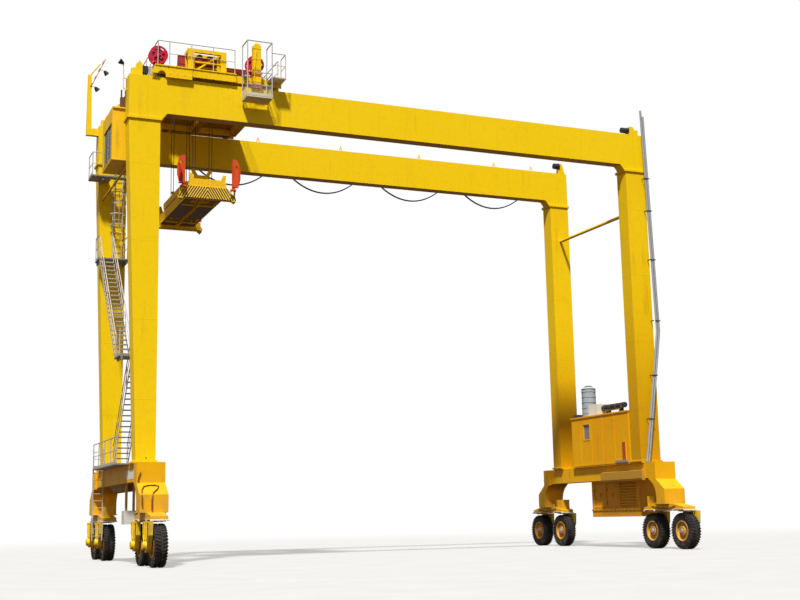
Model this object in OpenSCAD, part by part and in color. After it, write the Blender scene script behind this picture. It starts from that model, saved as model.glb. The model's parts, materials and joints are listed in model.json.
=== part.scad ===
// Rubber tyred gantry crane, full size. X runs along the span, Y along the travel direction, Z up.
// The modules are drawn from the left legs' inner faces (X) and the near portal's front (Y).
// The last step, placed(), moves them to the middle of the bounding box on the ground.

/* [Portal] */
// Clear distance between the inner faces of the left and right legs
clear_span = 22540; // [18000:10:26000]
// Distance from the front of the near portal to the front of the far portal, also the rail gauge
portal_pitch = 7200; // [6400:10:8000]
// Height of the girder top above the ground
girder_top = 19750; // [17500:10:23000]
// Depth of a girder
girder_depth = 1550; // [1200:10:1800]
// Width of a girder
girder_width = 560; // [400:10:700]
// Leg size along the travel direction
leg_depth = 760; // [600:10:900]
// Width of the left legs at the top flange
left_leg_top = 1300; // [1000:10:1600]
// Width of the left legs at the base flange
left_leg_base = 775; // [600:5:1000]
// Width of the right legs
right_leg_width = 1083; // [900:1:1300]
// Drop from the girder top to the flange under each portal corner
corner_drop = 1830; // [1700:10:2100]
// Thickness of the corner and base flanges
flange_t = 50; // [30:5:80]
// Overhang of a flange around its leg
flange_lip = 60; // [30:5:100]
// Crane rail height
rail_h = 80; // [60:5:140]
// Crane rail width
rail_w = 60; // [50:5:90]

// Outer face of the lamp mast, from the left legs' inner face
mast_left = -1850; // [-2100:10:-1700]
// Height of the mast's column above the girder top
mast_h = 2490; // [2000:10:2800]
// Height of the tie between the left legs
left_tie_z = 16200; // [15000:10:16300]
// Height of the tie between the right legs
right_tie_z = 15980; // [14000:10:17000]

/* [Sills and bogies] */
// Top of the sill beams
sill_top = 3910; // [3500:10:4300]
// Depth of the sill beams
sill_depth = 710; // [500:10:900]
// Width of the sill beams
sill_width = 880; // [700:10:1000]
// Width of the end posts of the sill beams
post_width = 1100; // [900:10:1300]
// Distance from the leg centre to the outer face of an end post
post_reach = 2070; // [1800:10:2400]
// Bottom face of an end post
post_bottom = 2030; // [1900:10:2200]
// Radius of the arch between sill and post
arch_radius = 850; // [500:10:1000]
// Depth of a bogie beam
bogie_depth = 300; // [200:10:400]
// Width of a bogie beam
bogie_width = 640; // [500:10:800]
// Distance from the leg centre to the inner wheel
inner_wheel = 500; // [400:10:700]
// Distance between the two wheels of a corner
wheel_pitch = 2250; // [2000:10:2500]

/* [Wheels] */
// Tyre diameter
tyre_d = 1600; // [1400:10:1800]
// Tyre width
tyre_w = 470; // [400:10:560]
// Rim diameter
rim_d = 800; // [600:10:900]
// Stub axle diameter
axle_d = 220; // [160:10:300]
// Clearance around the moving bars and hubs
run_gap = 8; // [5:1:15]
// Seat clearance of the faces and bearings that carry a moving piece
seat_gap = 0.3; // [0.2:0.1:1]

/* [Trolley] */
// Left end of the trolley frame, from the left legs' inner face
trolley_left = -190; // [-400:10:400]
// Length of the trolley frame
trolley_length = 5400; // [4800:10:6000]
// Top of the trolley deck above the girder top
deck_rise = 490; // [440:10:700]
// Trolley wheel diameter
trolley_wheel_d = 320; // [280:10:360]
// Hoist centre from the left legs' inner face
hoist_x = 2215; // [2000:5:2600]
// Hoist drum diameter
drum_d = 960; // [700:10:1100]
// Length by which the hoist drum is shorter than the rail gauge
drum_short = 2800; // [2600:10:3400]
// Drum shaft diameter
drum_shaft = 180; // [140:5:240]
// Height of the machinery frame above the deck
machine_h = 1000; // [900:10:1400]
// Cable reel diameter
reel_d = 760; // [600:10:1000]

/* [Operator's cab] */
// Left face of the cab, from the left legs' inner face
cab_left = -1770; // [-2000:10:-1500]
// Cab length along the span
cab_length = 2050; // [1700:10:2300]
// Near face of the cab
cab_near = 1050; // [900:10:1600]
// Cab width along the travel direction
cab_width = 2250; // [1500:10:2400]
// Cab floor underside height below the girder top
cab_drop = 3400; // [3000:10:3500]
// Cab height
cab_height = 2200; // [2000:10:2400]
// Cab wall thickness
cab_wall = 60; // [40:5:100]
// Glass thickness
glass_t = 12; // [8:1:20]

/* [Spreader] */
// Spreader length in its short setting
spreader_length = 6060; // [5900:10:6200]
// Spreader width
spreader_width = 2440; // [2300:10:2500]
// Underside of the spreader below the girder top
spreader_drop = 4830; // [4500:10:5500]
// Height of the striped end beams
end_beam_h = 560; // [400:10:700]
// Outward stroke of each end beam
end_stroke = 3065; // [2900:5:3100]
// Length of a corner guide arm
guide_l = 1330; // [1000:10:1500]
// Hoist rope diameter
rope_d = 28; // [20:1:36]

/* [Houses and access] */
// Diameter of the radiator stack on the house
stack_d = 700; // [600:10:900]
// Diameter of the silencer
silencer_d = 260; // [200:10:400]
// Diameter of each exhaust pipe
exhaust_d = 105; // [90:5:150]
// Inner face of the machine house, from the right legs' inner face
house_inset = -40; // [-100:10:200]
// Machine house depth along the span
house_depth = 1450; // [1200:10:1700]
// Machine house height
house_h = 2440; // [2000:10:2700]
// Machine house length along the travel direction
house_l = 5100; // [4000:10:5600]
// Generator housing inner face, from the right legs' inner face
genset_inset = 460; // [200:10:600]
// Generator housing depth along the span
genset_depth = 1300; // [1000:10:1500]
// Generator housing length
genset_l = 4150; // [3500:10:4600]
// Generator housing height
genset_h = 1740; // [1400:10:1900]
// Stair width
stair_w = 600; // [550:10:700]
// Height of the first stair landing
landing_1 = 8250; // [7500:10:9000]
// Height of the second stair landing
landing_2 = 13300; // [12500:10:14000]
// Height of the top platform
landing_3 = 17100; // [16400:10:17300]
// Hand rail height
rail_height = 1050; // [950:10:1150]
// Hand rail tube diameter
rail_tube = 42; // [34:1:60]

/* [Festoon] */
// Number of hanging cable loops
festoon_loops = 4; // [3:1:7]
// Drop of each cable loop below its carriers
festoon_sag = 1450; // [1200:10:1900]
// First carrier of the cable, from the left legs' inner face
festoon_start = 2860; // [500:10:4000]
// Last carrier of the cable, from the right legs' inner face
festoon_end = 640; // [300:10:2000]
// Distance of the festoon from the far girder's outer face
festoon_out = 440; // [300:10:600]

/* [Hidden] */
leg_y = leg_depth / 2;
far_y = portal_pitch;
mid_y = portal_pitch / 2 + leg_y;
trolley_y = portal_pitch / 2 + girder_width / 2;
right_x = clear_span;
corner_z = girder_top - corner_drop;
girder_bottom = girder_top - girder_depth;
base_z = sill_top + flange_t * 2;
left_c = -left_leg_base / 2;
right_c = clear_span + right_leg_width / 2;
sill_bottom = sill_top - sill_depth;
axle_z = tyre_d / 2;
bogie_bottom = post_bottom - bogie_depth;
bogie_end = inner_wheel + wheel_pitch + 330;
rail_top = girder_top + rail_h;
deck_z = girder_top + deck_rise;
trolley_right = trolley_left + trolley_length;
wheel_z = rail_top + trolley_wheel_d / 2 + seat_gap;
beam_bottom = rail_top + 90;
drum_z = deck_z + 640;
cab_bottom = girder_top - cab_drop;
cab_top = cab_bottom + cab_height;
cab_right = cab_left + cab_length;
cab_far = cab_near + cab_width;
sp_z = girder_top - spreader_drop;
sp_top = sp_z + end_beam_h;
sp_near = trolley_y - spreader_length / 2;
sp_far = trolley_y + spreader_length / 2;
sheave_z = sp_top + 510;
rope_x = drum_d / 2 + rope_d / 2 + seat_gap;
genset_z = sill_bottom - genset_h;
genset_x = right_x + genset_inset;
house_x = right_x + house_inset;
house_y = leg_depth + flange_lip + 20;
genset_y = leg_depth + 190;
house_top = sill_top + house_h;
festoon_y = far_y + girder_width + festoon_out;
festoon_z = girder_top - 400;
festoon_a = festoon_start;
festoon_b = right_x - festoon_end;
x_min = min(cab_left, mast_left);
drum_l = portal_pitch - drum_short;
wheel_x = [trolley_left + 150, trolley_right - 450];
fascia_right = trolley_right - 2050;
x_max = genset_x + genset_depth + 40;
x_mid = (x_min + x_max) / 2;

module placed() {
  translate([-x_mid, -mid_y, 0])
    children();
}

// A box given by two opposite corners
module box(a, b) {
  translate(a)
    cube(b - a);
}

// A polygon in X and Z, extruded along Y
module xz(y0, y1) {
  translate([0, y1, 0])
    rotate([90, 0, 0])
      linear_extrude(y1 - y0)
        children();
}

// A polygon in Y and Z, extruded along X
module yz(x0, x1) {
  translate([x0, 0, 0])
    rotate([90, 0, 90])
      linear_extrude(x1 - x0)
        children();
}

// A round bar between two points
module bar(a, b, d, f = 8) {
  v = b - a;
  l = norm(v);
  translate(a)
    rotate([0, acos(v[2] / l), atan2(v[1], v[0])])
      cylinder(h = l, d = d, $fn = f);
}

// A cylinder along X
module cyl_x(c, d, l, f = 48) {
  translate(c)
    rotate([0, 90, 0])
      cylinder(h = l, d = d, center = true, $fn = f);
}

// A cylinder along Y
module cyl_y(c, d, l, f = 48) {
  translate(c)
    rotate([90, 0, 0])
      cylinder(h = l, d = d, center = true, $fn = f);
}

// Posts and two rails along a straight line; pitch is the longest post distance
module rail_line(a, b, pitch = 1500) {
  n = max(1, ceil(norm(b - a) / pitch));
  up = [0, 0, rail_height];
  for (i = [0:n])
    bar(a + (b - a) * i / n, a + (b - a) * i / n + up, rail_tube);
  bar(a + up, b + up, rail_tube);
  bar(a + up / 2, b + up / 2, rail_tube * 0.7);
}

// Lifting lug on a leg's base flange; x is its middle and y its front
module flange_lug(x, y) {
  xz(y, y + 40)
    difference() {
      union() {
        translate([x, base_z + 90])
          circle(d = 180, $fn = 32);
        polygon([[x - 90, base_z], [x + 90, base_z], [x + 90, base_z + 90], [x - 90, base_z + 90]]);
      }
      translate([x, base_z + 95])
        circle(d = 80, $fn = 32);
    }
}

// One portal girder with its two corner blocks, crane rail and knees
module girder_shape(y) {
  x0 = -left_leg_top;
  x1 = right_x + right_leg_width;
  knee = 280;
  translate([0, y, 0]) {
    box([x0, 0, girder_bottom], [x1, girder_width, girder_top]);
    box([x0, 0, corner_z + flange_t], [0, leg_depth, girder_top]);
    box([right_x, 0, corner_z + flange_t], [x1, leg_depth, girder_top]);
    box([x0 - flange_lip, -flange_lip, corner_z], [flange_lip, leg_depth + flange_lip, corner_z + flange_t]);
    box([right_x - flange_lip, -flange_lip, corner_z],
      [x1 + flange_lip, leg_depth + flange_lip, corner_z + flange_t]);
    xz(0, girder_width)
      polygon([[0, corner_z], [flange_lip, corner_z], [knee, girder_bottom], [0, girder_bottom]]);
    xz(0, girder_width)
      polygon([[right_x, corner_z], [right_x - flange_lip, corner_z],
        [right_x - knee, girder_bottom], [right_x, girder_bottom]]);
    box([x0 + 250, (girder_width - rail_w) / 2, girder_top],
      [x1 - 250, (girder_width + rail_w) / 2, rail_top]);
    for (x = [x0 + 120, x1 - 200])
      box([x, girder_width / 2 - 90, girder_top], [x + 80, girder_width / 2 + 90, girder_top + 330]);
  }
}

module near_girder() {
  color([0.93, 0.77, 0.02])
    girder_shape(0);
}

module far_girder() {
  color([0.93, 0.77, 0.02])
    girder_shape(far_y);
}

module left_leg(y) {
  translate([0, y, 0]) {
    xz(0, leg_depth)
      polygon([[0, base_z - flange_t], [-left_leg_base, base_z - flange_t],
        [-left_leg_top, corner_z], [0, corner_z]]);
    box([-left_leg_base - flange_lip, -flange_lip, base_z - flange_t],
      [flange_lip, leg_depth + flange_lip, base_z]);
    box([-left_leg_top - flange_lip, -flange_lip, corner_z - flange_t],
      [flange_lip, leg_depth + flange_lip, corner_z]);
    flange_lug(left_c, -flange_lip);
  }
}

module right_leg(y) {
  x1 = right_x + right_leg_width;
  translate([0, y, 0]) {
    box([right_x, 0, base_z - flange_t], [x1, leg_depth, corner_z]);
    box([right_x - flange_lip, -flange_lip, base_z - flange_t],
      [x1 + flange_lip, leg_depth + flange_lip, base_z]);
    box([right_x - flange_lip, -flange_lip, corner_z - flange_t],
      [x1 + flange_lip, leg_depth + flange_lip, corner_z]);
  }
}

module near_left_leg() {
  color([0.93, 0.77, 0.02])
    left_leg(0);
}

module far_left_leg() {
  color([0.93, 0.77, 0.02])
    left_leg(far_y);
}

module near_right_leg() {
  color([0.93, 0.77, 0.02])
    right_leg(0);
}

module far_right_leg() {
  color([0.93, 0.77, 0.02])
    right_leg(far_y);
}

// Half of a sill beam's side view, from the middle outwards; s is the distance from the leg centre
module sill_half() {
  half = portal_pitch / 2;
  post_t = 640;
  inner = half + post_reach - post_t;
  difference() {
    polygon([[-1, sill_bottom], [-1, sill_top], [half + 1450, sill_top], [half + 1450, sill_top - 780],
      [half + post_reach, sill_top - 1240], [half + post_reach, post_bottom],
      [inner - arch_radius, post_bottom], [inner - arch_radius, sill_bottom]]);
    translate([inner - arch_radius, post_bottom - 100])
      square([arch_radius, sill_bottom - post_bottom + 100 - arch_radius + 1]);
    translate([inner - arch_radius, sill_bottom - arch_radius])
      circle(r = arch_radius, $fn = 64);
    translate([inner - arch_radius - 1, post_bottom - 100])
      square([arch_radius / 2, sill_bottom - post_bottom - 200]);
  }
}

// A sill beam with its two arched end posts, centred on X = c
module sill_shape(c) {
  half = portal_pitch / 2;
  for (m = [0, 1])
    translate([0, mid_y, 0])
      mirror([0, m, 0])
        difference() {
          yz(c - post_width / 2, c + post_width / 2)
            sill_half();
          for (s = [-1, 1])
            translate([c + s * (post_width + sill_width) / 2, 0, 0])
              translate([-post_width / 2, -10, post_bottom - 50])
                cube([post_width, half + 900, sill_top - post_bottom + 100]);
        }
  for (y = [0, far_y])
    box([c - post_width / 2, y - flange_lip, sill_top], [c + post_width / 2, y + leg_depth + flange_lip,
      sill_top + flange_t]);
}

module left_sill() {
  color([0.92, 0.72, 0.02]) {
    sill_shape(left_c);
    difference() {
      cyl_y([left_c, 4210, sill_bottom], 620, 3000);
      box([left_c - 400, 2000, sill_bottom + 1], [left_c + 400, 6400, sill_bottom + 400]);
    }
  }
}

module right_sill() {
  face = right_c - sill_width / 2 + 1;
  color([0.88, 0.64, 0.02]) {
    sill_shape(right_c);
    xz(-100, 3400)
      polygon([[face, sill_bottom + 400], [right_x - 80, sill_bottom + 360], [right_x - 80, sill_bottom],
        [right_x - 50, sill_bottom - 90], [face, sill_bottom - 90]]);
  }
}

// Horizontal pipes between the near and far legs
module leg_ties() {
  color([0.93, 0.77, 0.05]) {
    cyl_y([-left_leg_top + 230, mid_y, left_tie_z], 95, portal_pitch - leg_depth, 24);
    cyl_y([right_x + right_leg_width / 2, mid_y, right_tie_z], 150, portal_pitch - leg_depth, 24);
  }
}

// A bogie beam under an end post; d is -1 for the near corners and 1 for the far ones
module bogie_shape(c, y, d) {
  mid = inner_wheel + wheel_pitch / 2;
  translate([c, y + leg_y, 0])
    mirror([0, d < 0 ? 1 : 0, 0])
      difference() {
        union() {
          yz(-bogie_width / 2, bogie_width / 2)
            polygon([[-330 + inner_wheel - 100, bogie_bottom], [bogie_end, bogie_bottom],
              [bogie_end, bogie_bottom + 130], [mid + 700, post_bottom - 30],
              [mid - 700, post_bottom - 30], [inner_wheel - 430, bogie_bottom + 130]]);
          box([-post_width / 2, mid - 480, post_bottom - 30], [post_width / 2, post_reach, post_bottom]);
          for (s = [inner_wheel, inner_wheel + wheel_pitch])
            translate([0, s, bogie_bottom - 25])
              cylinder(h = 40, d = 620, $fn = 48);
          box([-220, inner_wheel - 260, bogie_bottom + 120], [220, inner_wheel + 300, bogie_bottom + 640]);
          box([-180, mid - 180, bogie_bottom - 40], [180, mid + 180, bogie_bottom + 1]);
          for (x = [-280, 250])
            box([x, mid - 700, post_bottom - 40], [x + 30, mid - 400, post_bottom + 120]);
        }
        for (x = [-1, 1])
          translate([x * (bogie_width / 2 + 20), mid, bogie_bottom + 150])
            rotate([0, 90, 0])
              cylinder(h = 60, d = 160, center = true, $fn = 32);
      }
}

module near_left_bogie() {
  color([0.92, 0.70, 0.02])
    bogie_shape(left_c, 0, -1);
}

module far_left_bogie() {
  color([0.92, 0.70, 0.02])
    bogie_shape(left_c, far_y, 1);
}

module near_right_bogie() {
  color([0.88, 0.64, 0.02])
    bogie_shape(right_c, 0, -1);
}

module far_right_bogie() {
  color([0.88, 0.64, 0.02])
    bogie_shape(right_c, far_y, 1);
}

// The house on the right sill, a closed machine housing with a small window recess
module machine_house() {
  color([0.88, 0.64, 0.02])
    difference() {
      union() {
        box([house_x, house_y, sill_top], [house_x + house_depth, house_y + house_l, house_top]);
        box([house_x - 40, house_y - 30, house_top],
          [house_x + house_depth + 40, house_y + house_l + 40, house_top + 70]);
        box([house_x - 15, house_y + 200, sill_top + 60], [house_x, house_y + house_l - 200, sill_top + 110]);
        box([house_x - 80, house_y + 110, sill_top + 80], [house_x + 1, house_y + 1150, sill_top + 190]);
        box([house_x - 60, house_y + 280, sill_top + 189], [house_x + 1, house_y + 520, sill_top + 1040]);
      }
      box([house_x - 1, house_y + 3430, sill_top + 1350], [house_x + 60, house_y + 3980, sill_top + 2080]);
      box([house_x + house_depth - 60, house_y + 600, sill_top + 200],
        [house_x + house_depth + 1, house_y + 1500, sill_top + 2150]);
      for (i = [0:8])
        box([house_x + house_depth - 40, house_y + 2300, sill_top + 500 + i * 170],
          [house_x + house_depth + 1, house_y + 4300, sill_top + 590 + i * 170]);
    }
}

// The generator housing under the right sill, with louvred openings on the inner side
module generator_housing() {
  color([0.85, 0.58, 0.03])
    difference() {
      union() {
        box([genset_x, genset_y, genset_z], [genset_x + genset_depth, genset_y + genset_l, sill_bottom]);
        box([genset_x - 30, genset_y - 30, genset_z + 300],
          [genset_x + genset_depth + 40, genset_y + genset_l + 30, genset_z + 380]);
      }
      for (i = [0:8])
        box([genset_x - 1, genset_y + 250, genset_z + 480 + i * 130],
          [genset_x + 70, genset_y + 1650, genset_z + 555 + i * 130]);
      for (y = [1850, 2950])
        box([genset_x - 1, genset_y + y, genset_z + 480], [genset_x + 25, genset_y + y + 950, sill_bottom - 120]);
      for (i = [0:8])
        box([genset_x + genset_depth - 70, genset_y + 350, genset_z + 480 + i * 130],
          [genset_x + genset_depth + 1, genset_y + 2050, genset_z + 555 + i * 130]);
    }
}

// Radiator stack, small boxes and the silencer on the machine house
module roof_equipment() {
  z = house_top + 70;
  cx = house_x + 500;
  cy = house_y + 4150;
  color([0.72, 0.76, 0.78]) {
    translate([cx, cy, z])
      cylinder(h = 1420, d = stack_d, $fn = 64);
    translate([cx, cy, z + 1420])
      cylinder(h = 110, d1 = stack_d + 60, d2 = stack_d * 0.6, $fn = 64);
    for (i = [0:4])
      translate([cx, cy, z + 180 + i * 270])
        cylinder(h = 30, d = stack_d + 40, $fn = 64);
    box([cx - 420, cy - 1450, z], [cx + 260, cy - 620, z + 520]);
    box([cx - 380, cy + 500, z], [cx + 100, cy + 880, z + 160]);
    for (y = [cy - 3100, cy - 2000])
      box([cx - 200, y, z], [cx, y + 120, z + 260]);
    cyl_y([cx - 100, cy - 2425, z + 330], silencer_d, 1910);
  }
}

// The pair of exhaust pipes from the silencer up the near right leg's outer side
module exhaust_pipe() {
  d = exhaust_d;
  x0 = right_x + right_leg_width;
  y = 300;
  cx = house_x + 400;
  cy = house_y + 4150 - 3380 - d / 2 - seat_gap;
  p = [[cx, cy, house_top + 350], [x0 + 260, cy, house_top + 350], [x0 + 270, y, 10200],
    [x0 + 130, y, girder_top + 1300]];
  color([0.55, 0.55, 0.55]) {
    for (s = [0, 1])
      translate([s * (d + 10), 0, s * (d + 10)]) {
        for (i = [0:2])
          bar(p[i], p[i + 1] - (i == 2 ? [0, 0, s * 3 * d] : [0, 0, 0]), d, 24);
        for (i = [1:2])
          translate(p[i])
            sphere(d = d + 12, $fn = 24);
      }
    for (z = [10700, 13500, 15900, 17700])
      box([x0, y - 60, z], [x0 + 380, y + 60, z + 50]);
    box([x0, y - 60, girder_top - 250], [x0 + 300, y + 60, girder_top - 200]);
  }
}

// A straight stair between two points, with stringers, treads and hand rails; the run is along Y
module stair(x, y0, z0, y1, z1) {
  n = round((z1 - z0) / 215);
  dy = (y1 - y0) / n;
  dz = (z1 - z0) / n;
  t = 12;
  for (sx = [x, x + stair_w - t])
    yz(sx, sx + t)
      polygon([[y0, z0], [y0 - sign(dy) * 0, z0 + 40], [y1, z1 + 20], [y1, z1 - 220],
        [y0 + sign(dy) * 160, z0]]);
  for (i = [1:n - 1])
    box([x, min(y0 + dy * i - 120, y0 + dy * i + 120), z0 + dz * i - 60],
      [x + stair_w, max(y0 + dy * i - 120, y0 + dy * i + 120), z0 + dz * i - 30]);
  up = [0, 0, 950];
  for (sx = [x + 6, x + stair_w - 6]) {
    bar([sx, y0, z0] + up, [sx, y1, z1] + up, rail_tube);
    for (i = [0:4])
      bar([sx, y0 + (y1 - y0) * i / 4, z0 + (z1 - z0) * i / 4],
        [sx, y0 + (y1 - y0) * i / 4, z0 + (z1 - z0) * i / 4] + up, rail_tube * 0.84);
    bar([sx, y0, z0] + up / 2, [sx, y1, z1] + up / 2, rail_tube * 0.7);
  }
}

module lower_stair() {
  color([0.72, 0.68, 0.60])
    stair(-stair_w - 60, 5500, sill_top + 50, 1900, landing_1);
}

module upper_stair() {
  color([0.72, 0.68, 0.60])
    stair(-2 * stair_w - 130, 1750, landing_1, 6100, landing_2);
}

module platforms() {
  t = 60;
  xl = -2 * stair_w - 150;
  color([0.45, 0.46, 0.47]) {
    box([left_c - 950, 1000, sill_top], [-20, 6600, sill_top + 50]);
    box([xl, leg_depth, landing_1 - t], [-50, 1900 - seat_gap, landing_1]);
    box([xl, 6100 + seat_gap, landing_2 - t], [-50, far_y, landing_2]);
    difference() {
      box([-1740, 6150, landing_3 - t], [-50, far_y, landing_3]);
      box([-820, 6560, landing_3 - t - 1], [-180, far_y + 1, landing_3 + 1]);
    }
    for (x = [xl + 60, -140]) {
      box([x, leg_depth, landing_1 - 180], [x + 70, 1600, landing_1 - t]);
      box([x, 6140, landing_2 - 180], [x + 70, far_y, landing_2 - t]);
    }
    for (x = [-1280, -180])
      box([x, 6200, landing_3 - 200], [x + 80, far_y, landing_3 - t]);
  }
}

module guard_rails() {
  xl = -2 * stair_w - 150;
  e = 25;
  color([0.78, 0.77, 0.72]) {
    rail_line([left_c - 950 + e, 1060, sill_top + 50], [left_c - 950 + e, 6560, sill_top + 50]);
    rail_line([xl + e, leg_depth + 60, landing_1], [xl + e, 1560, landing_1]);
    rail_line([-80, leg_depth + 60, landing_1], [-80, 1780, landing_1]);
    rail_line([xl + e, 6240, landing_2], [xl + e, far_y - 60, landing_2]);
    rail_line([-80, 6240, landing_2], [-80, far_y - 60, landing_2]);
    rail_line([-1740 + e, 6180, landing_3], [-80, 6180, landing_3]);
    rail_line([-1740 + e, 6180, landing_3], [-1740 + e, far_y - 40, landing_3]);
  }
}

// A vertical ladder; x and y are its middle, and its rungs run along X
module ladder(x, y, z0, z1) {
  w = 420;
  for (s = [-1, 1])
    box([x + s * w / 2 - 20, y - 25, z0], [x + s * w / 2 + 20, y + 25, z1]);
  n = floor((z1 - z0) / 300);
  for (i = [1:n])
    cyl_x([x, y, z0 + i * 300 - 100], 28, w, 8);
}

module access_ladders() {
  x = -420;
  y = far_y - 180;
  color([0.74, 0.72, 0.66]) {
    ladder(x, y, landing_2, landing_3 + 900);
    for (z = [15000:500:16500])
      for (s = [-1, 1])
        box([x + s * 295 - 85, y - 25, z], [x + s * 295 + 85, y + 20, z + 40]);
    for (z = [landing_2 + 300, 15000, 16300])
      for (s = [-1, 1])
        box([x + s * 210 - 15, y, z], [x + s * 210 + 15, far_y, z + 40]);
    for (z = [15000:500:16500])
      translate([x, y - 20, z])
        difference() {
          cylinder(h = 40, d = 760, $fn = 32);
          translate([0, 0, -1])
            cylinder(h = 42, d = 730, $fn = 32);
          translate([-400, 40, -1])
            cube([800, 400, 42]);
        }
    for (a = [-60, -90, -120])
      translate([x + 372 * cos(a), y - 20 + 372 * sin(a), 15000])
        cylinder(h = 1540, d = 24, $fn = 8);
    ladder(left_c - 700, 6600 + 25 + seat_gap, 900, sill_top + 950);
  }
}

// Track beam and brackets behind the far girder
module festoon_track() {
  y = festoon_y;
  color([0.92, 0.74, 0.03]) {
    box([-left_leg_top / 2, y - 50, festoon_z], [right_x + right_leg_width / 2, y + 50, festoon_z + 110]);
    box([100, far_y + girder_width, girder_top - 460], [right_x - 100, far_y + girder_width + 200,
      girder_top - 420]);
    for (i = [0:8])
      translate([140 + (right_x - 360) * i / 8, 0, 0]) {
        box([0, far_y + girder_width, girder_top - 310], [80, y + 50, girder_top - 230]);
        box([0, y - 40, festoon_z], [80, y + 40, girder_top - 230]);
      }
  }
}

// Height of the hanging cable above its lowest point at the share u of a loop, from -1 to 1
function sag(u) = festoon_sag * (pow(2.718281828, 1.25 * u) + pow(2.718281828, -1.25 * u) - 2)
  / (pow(2.718281828, 1.25) + pow(2.718281828, -1.25) - 2);

// Flat trailing cable in loops, with its carriers
module festoon_cable() {
  n = 16;
  t = 26;
  w = 90;
  p = (festoon_b - festoon_a) / festoon_loops;
  top = festoon_z - 120;
  color([0.10, 0.14, 0.28]) {
    for (k = [0:festoon_loops - 1]) {
      c = festoon_a + p * (k + 0.5);
      pts = [for (i = [-n:n]) [c + (p / 2) * i / n, top - festoon_sag + sag(i / n)]];
      low = [for (i = [n:-1:-n]) [c + (p / 2 + (abs(i) == n ? 0 : 8 * i / n)) * i / n * 1,
        top - festoon_sag + sag(i / n) - t]];
      xz(festoon_y - w / 2, festoon_y + w / 2)
        polygon(concat(pts, low));
    }
    for (k = [0:festoon_loops])
      box([festoon_a + p * k - 90, festoon_y - 60, top - 40], [festoon_a + p * k + 90, festoon_y + 60,
        festoon_z]);
  }
}

module control_cabinet() {
  x = left_c - 410;
  color([0.80, 0.80, 0.76]) {
    box([x, 2050, sill_bottom - 1620], [x + 560, 2560, sill_bottom - 1080]);
    box([x + 100, 2180, sill_bottom - 1081], [x + 160, 2430, sill_bottom]);
    box([x + 400, 2180, sill_bottom - 1081], [x + 460, 2430, sill_bottom]);
  }
}

// Flood lamp on a cranked bracket of the size k
module flood_lamp(x, y, z, k) {
  xz(y, y + 40)
    polygon([[x - 150 * k, z], [x + 150 * k, z], [x + 30 * k, z + 430 * k], [x - 190 * k, z + 520 * k],
      [x - 190 * k, z + 470 * k], [x - 30 * k, z + 400 * k]]);
  translate([x - 170 * k, y + 20, z + 500 * k])
    rotate([0, -130, 0])
      cylinder(h = 170 * k, d1 = 150 * k, d2 = 270 * k, $fn = 32);
}

// Lamp mast at the far girder's left end, and the flood lamps of the portal
module lamp_mast() {
  x = -left_leg_top;
  y = far_y + girder_width / 2;
  z = girder_top - 620;
  top = girder_top + mast_h;
  color([0.90, 0.74, 0.10]) {
    box([mast_left, y - 110, z + 170], [x, y + 110, z + 500]);
    xz(y - 85, y + 85)
      polygon([[mast_left, z + 499], [mast_left + 230, z + 499], [mast_left + 180, top], [mast_left + 30, top]]);
    bar([mast_left + 105, y, top - 40], [mast_left + 560, y - 30, top + 580], 60, 12);
    bar([mast_left + 150, y - 110, top - 570], [mast_left + 790, y - 70, top + 860], 64, 12);
    for (p = [[150, -90, -560], [530, -80, 290]])
      box([mast_left + p[0] - 30, y + p[1] - 30, top + p[2] - 10], [mast_left + p[0] + 30, y + 10, top + p[2] + 40]);
    for (p = [[150, -570], [560, 270]]) {
      bar([mast_left + p[0], y - 95, top + p[1]], [mast_left + p[0] + 190, y - 95, top + p[1] - 20], 30, 8);
      translate([mast_left + p[0] + 190, y - 95, top + p[1] - 30])
        rotate([0, 140, 0])
          cylinder(h = 190, d1 = 100, d2 = 230, $fn = 32);
    }
    flood_lamp(right_x + right_leg_width - 330, far_y + 60, girder_top, 1);
    flood_lamp(right_x + right_leg_width - 480, 60, girder_top, 0.6);
    for (h = [-560, -120])
      box([x - 180, leg_depth / 2 - 15, girder_top + h], [x, leg_depth / 2 + 15, girder_top + h + 40]);
    bar([x - 165, leg_depth / 2, girder_top - 600], [x - 180, leg_depth / 2, girder_top + 540], 40, 12);
    translate([x - 180, leg_depth / 2, girder_top + 520])
      rotate([0, -60, 0])
        cylinder(h = 190, d1 = 100, d2 = 230, $fn = 32);
  }
}

// Two crossed posts of the machinery frame with their beams; y is its front and t its thickness
module machinery_portal(y, t) {
  d = deck_z;
  x0 = hoist_x - 1060;
  x1 = hoist_x + 590;
  box([x0, y, d - 1], [x0 + 280, y + t, d + machine_h]);
  box([x1 - 240, y, d - 1], [x1, y + t, d + machine_h]);
  box([x0, y, d + machine_h - 150], [x1, y + t, d + machine_h]);
  box([x0, y, d + 400], [x1, y + t, d + 460]);
  xz(y + 20, y + t - 20)
    polygon([[x0 + 270, d + 60], [x0 + 390, d + 60], [x1 - 230, d + machine_h - 160], [x1 - 350, d + machine_h - 160]]);
}

// Plates that cover one rail beam, drawn for the near side; the outer face is at Y = y
module rail_cover(y) {
  d = deck_z;
  xz(y, y + 25)
    polygon([[trolley_left - 260, girder_top + 110], [trolley_left - 80, d], [fascia_right, d],
      [fascia_right, girder_top + 110], [trolley_left + 350, girder_top + 110], [trolley_left + 300, girder_top + 200],
      [trolley_left + 190, girder_top + 245], [trolley_left + 80, girder_top + 200], [trolley_left + 30, girder_top + 110]]);
  box([trolley_left - 100, y - 30, d - 50], [fascia_right, y + 60, d]);
  box([trolley_left - 80, y, d - 20], [fascia_right, y + 240, d]);
  box([trolley_left + 350, y - 20, girder_top - 30], [trolley_left + 1460, y + 15, girder_top + 160]);
}

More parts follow.
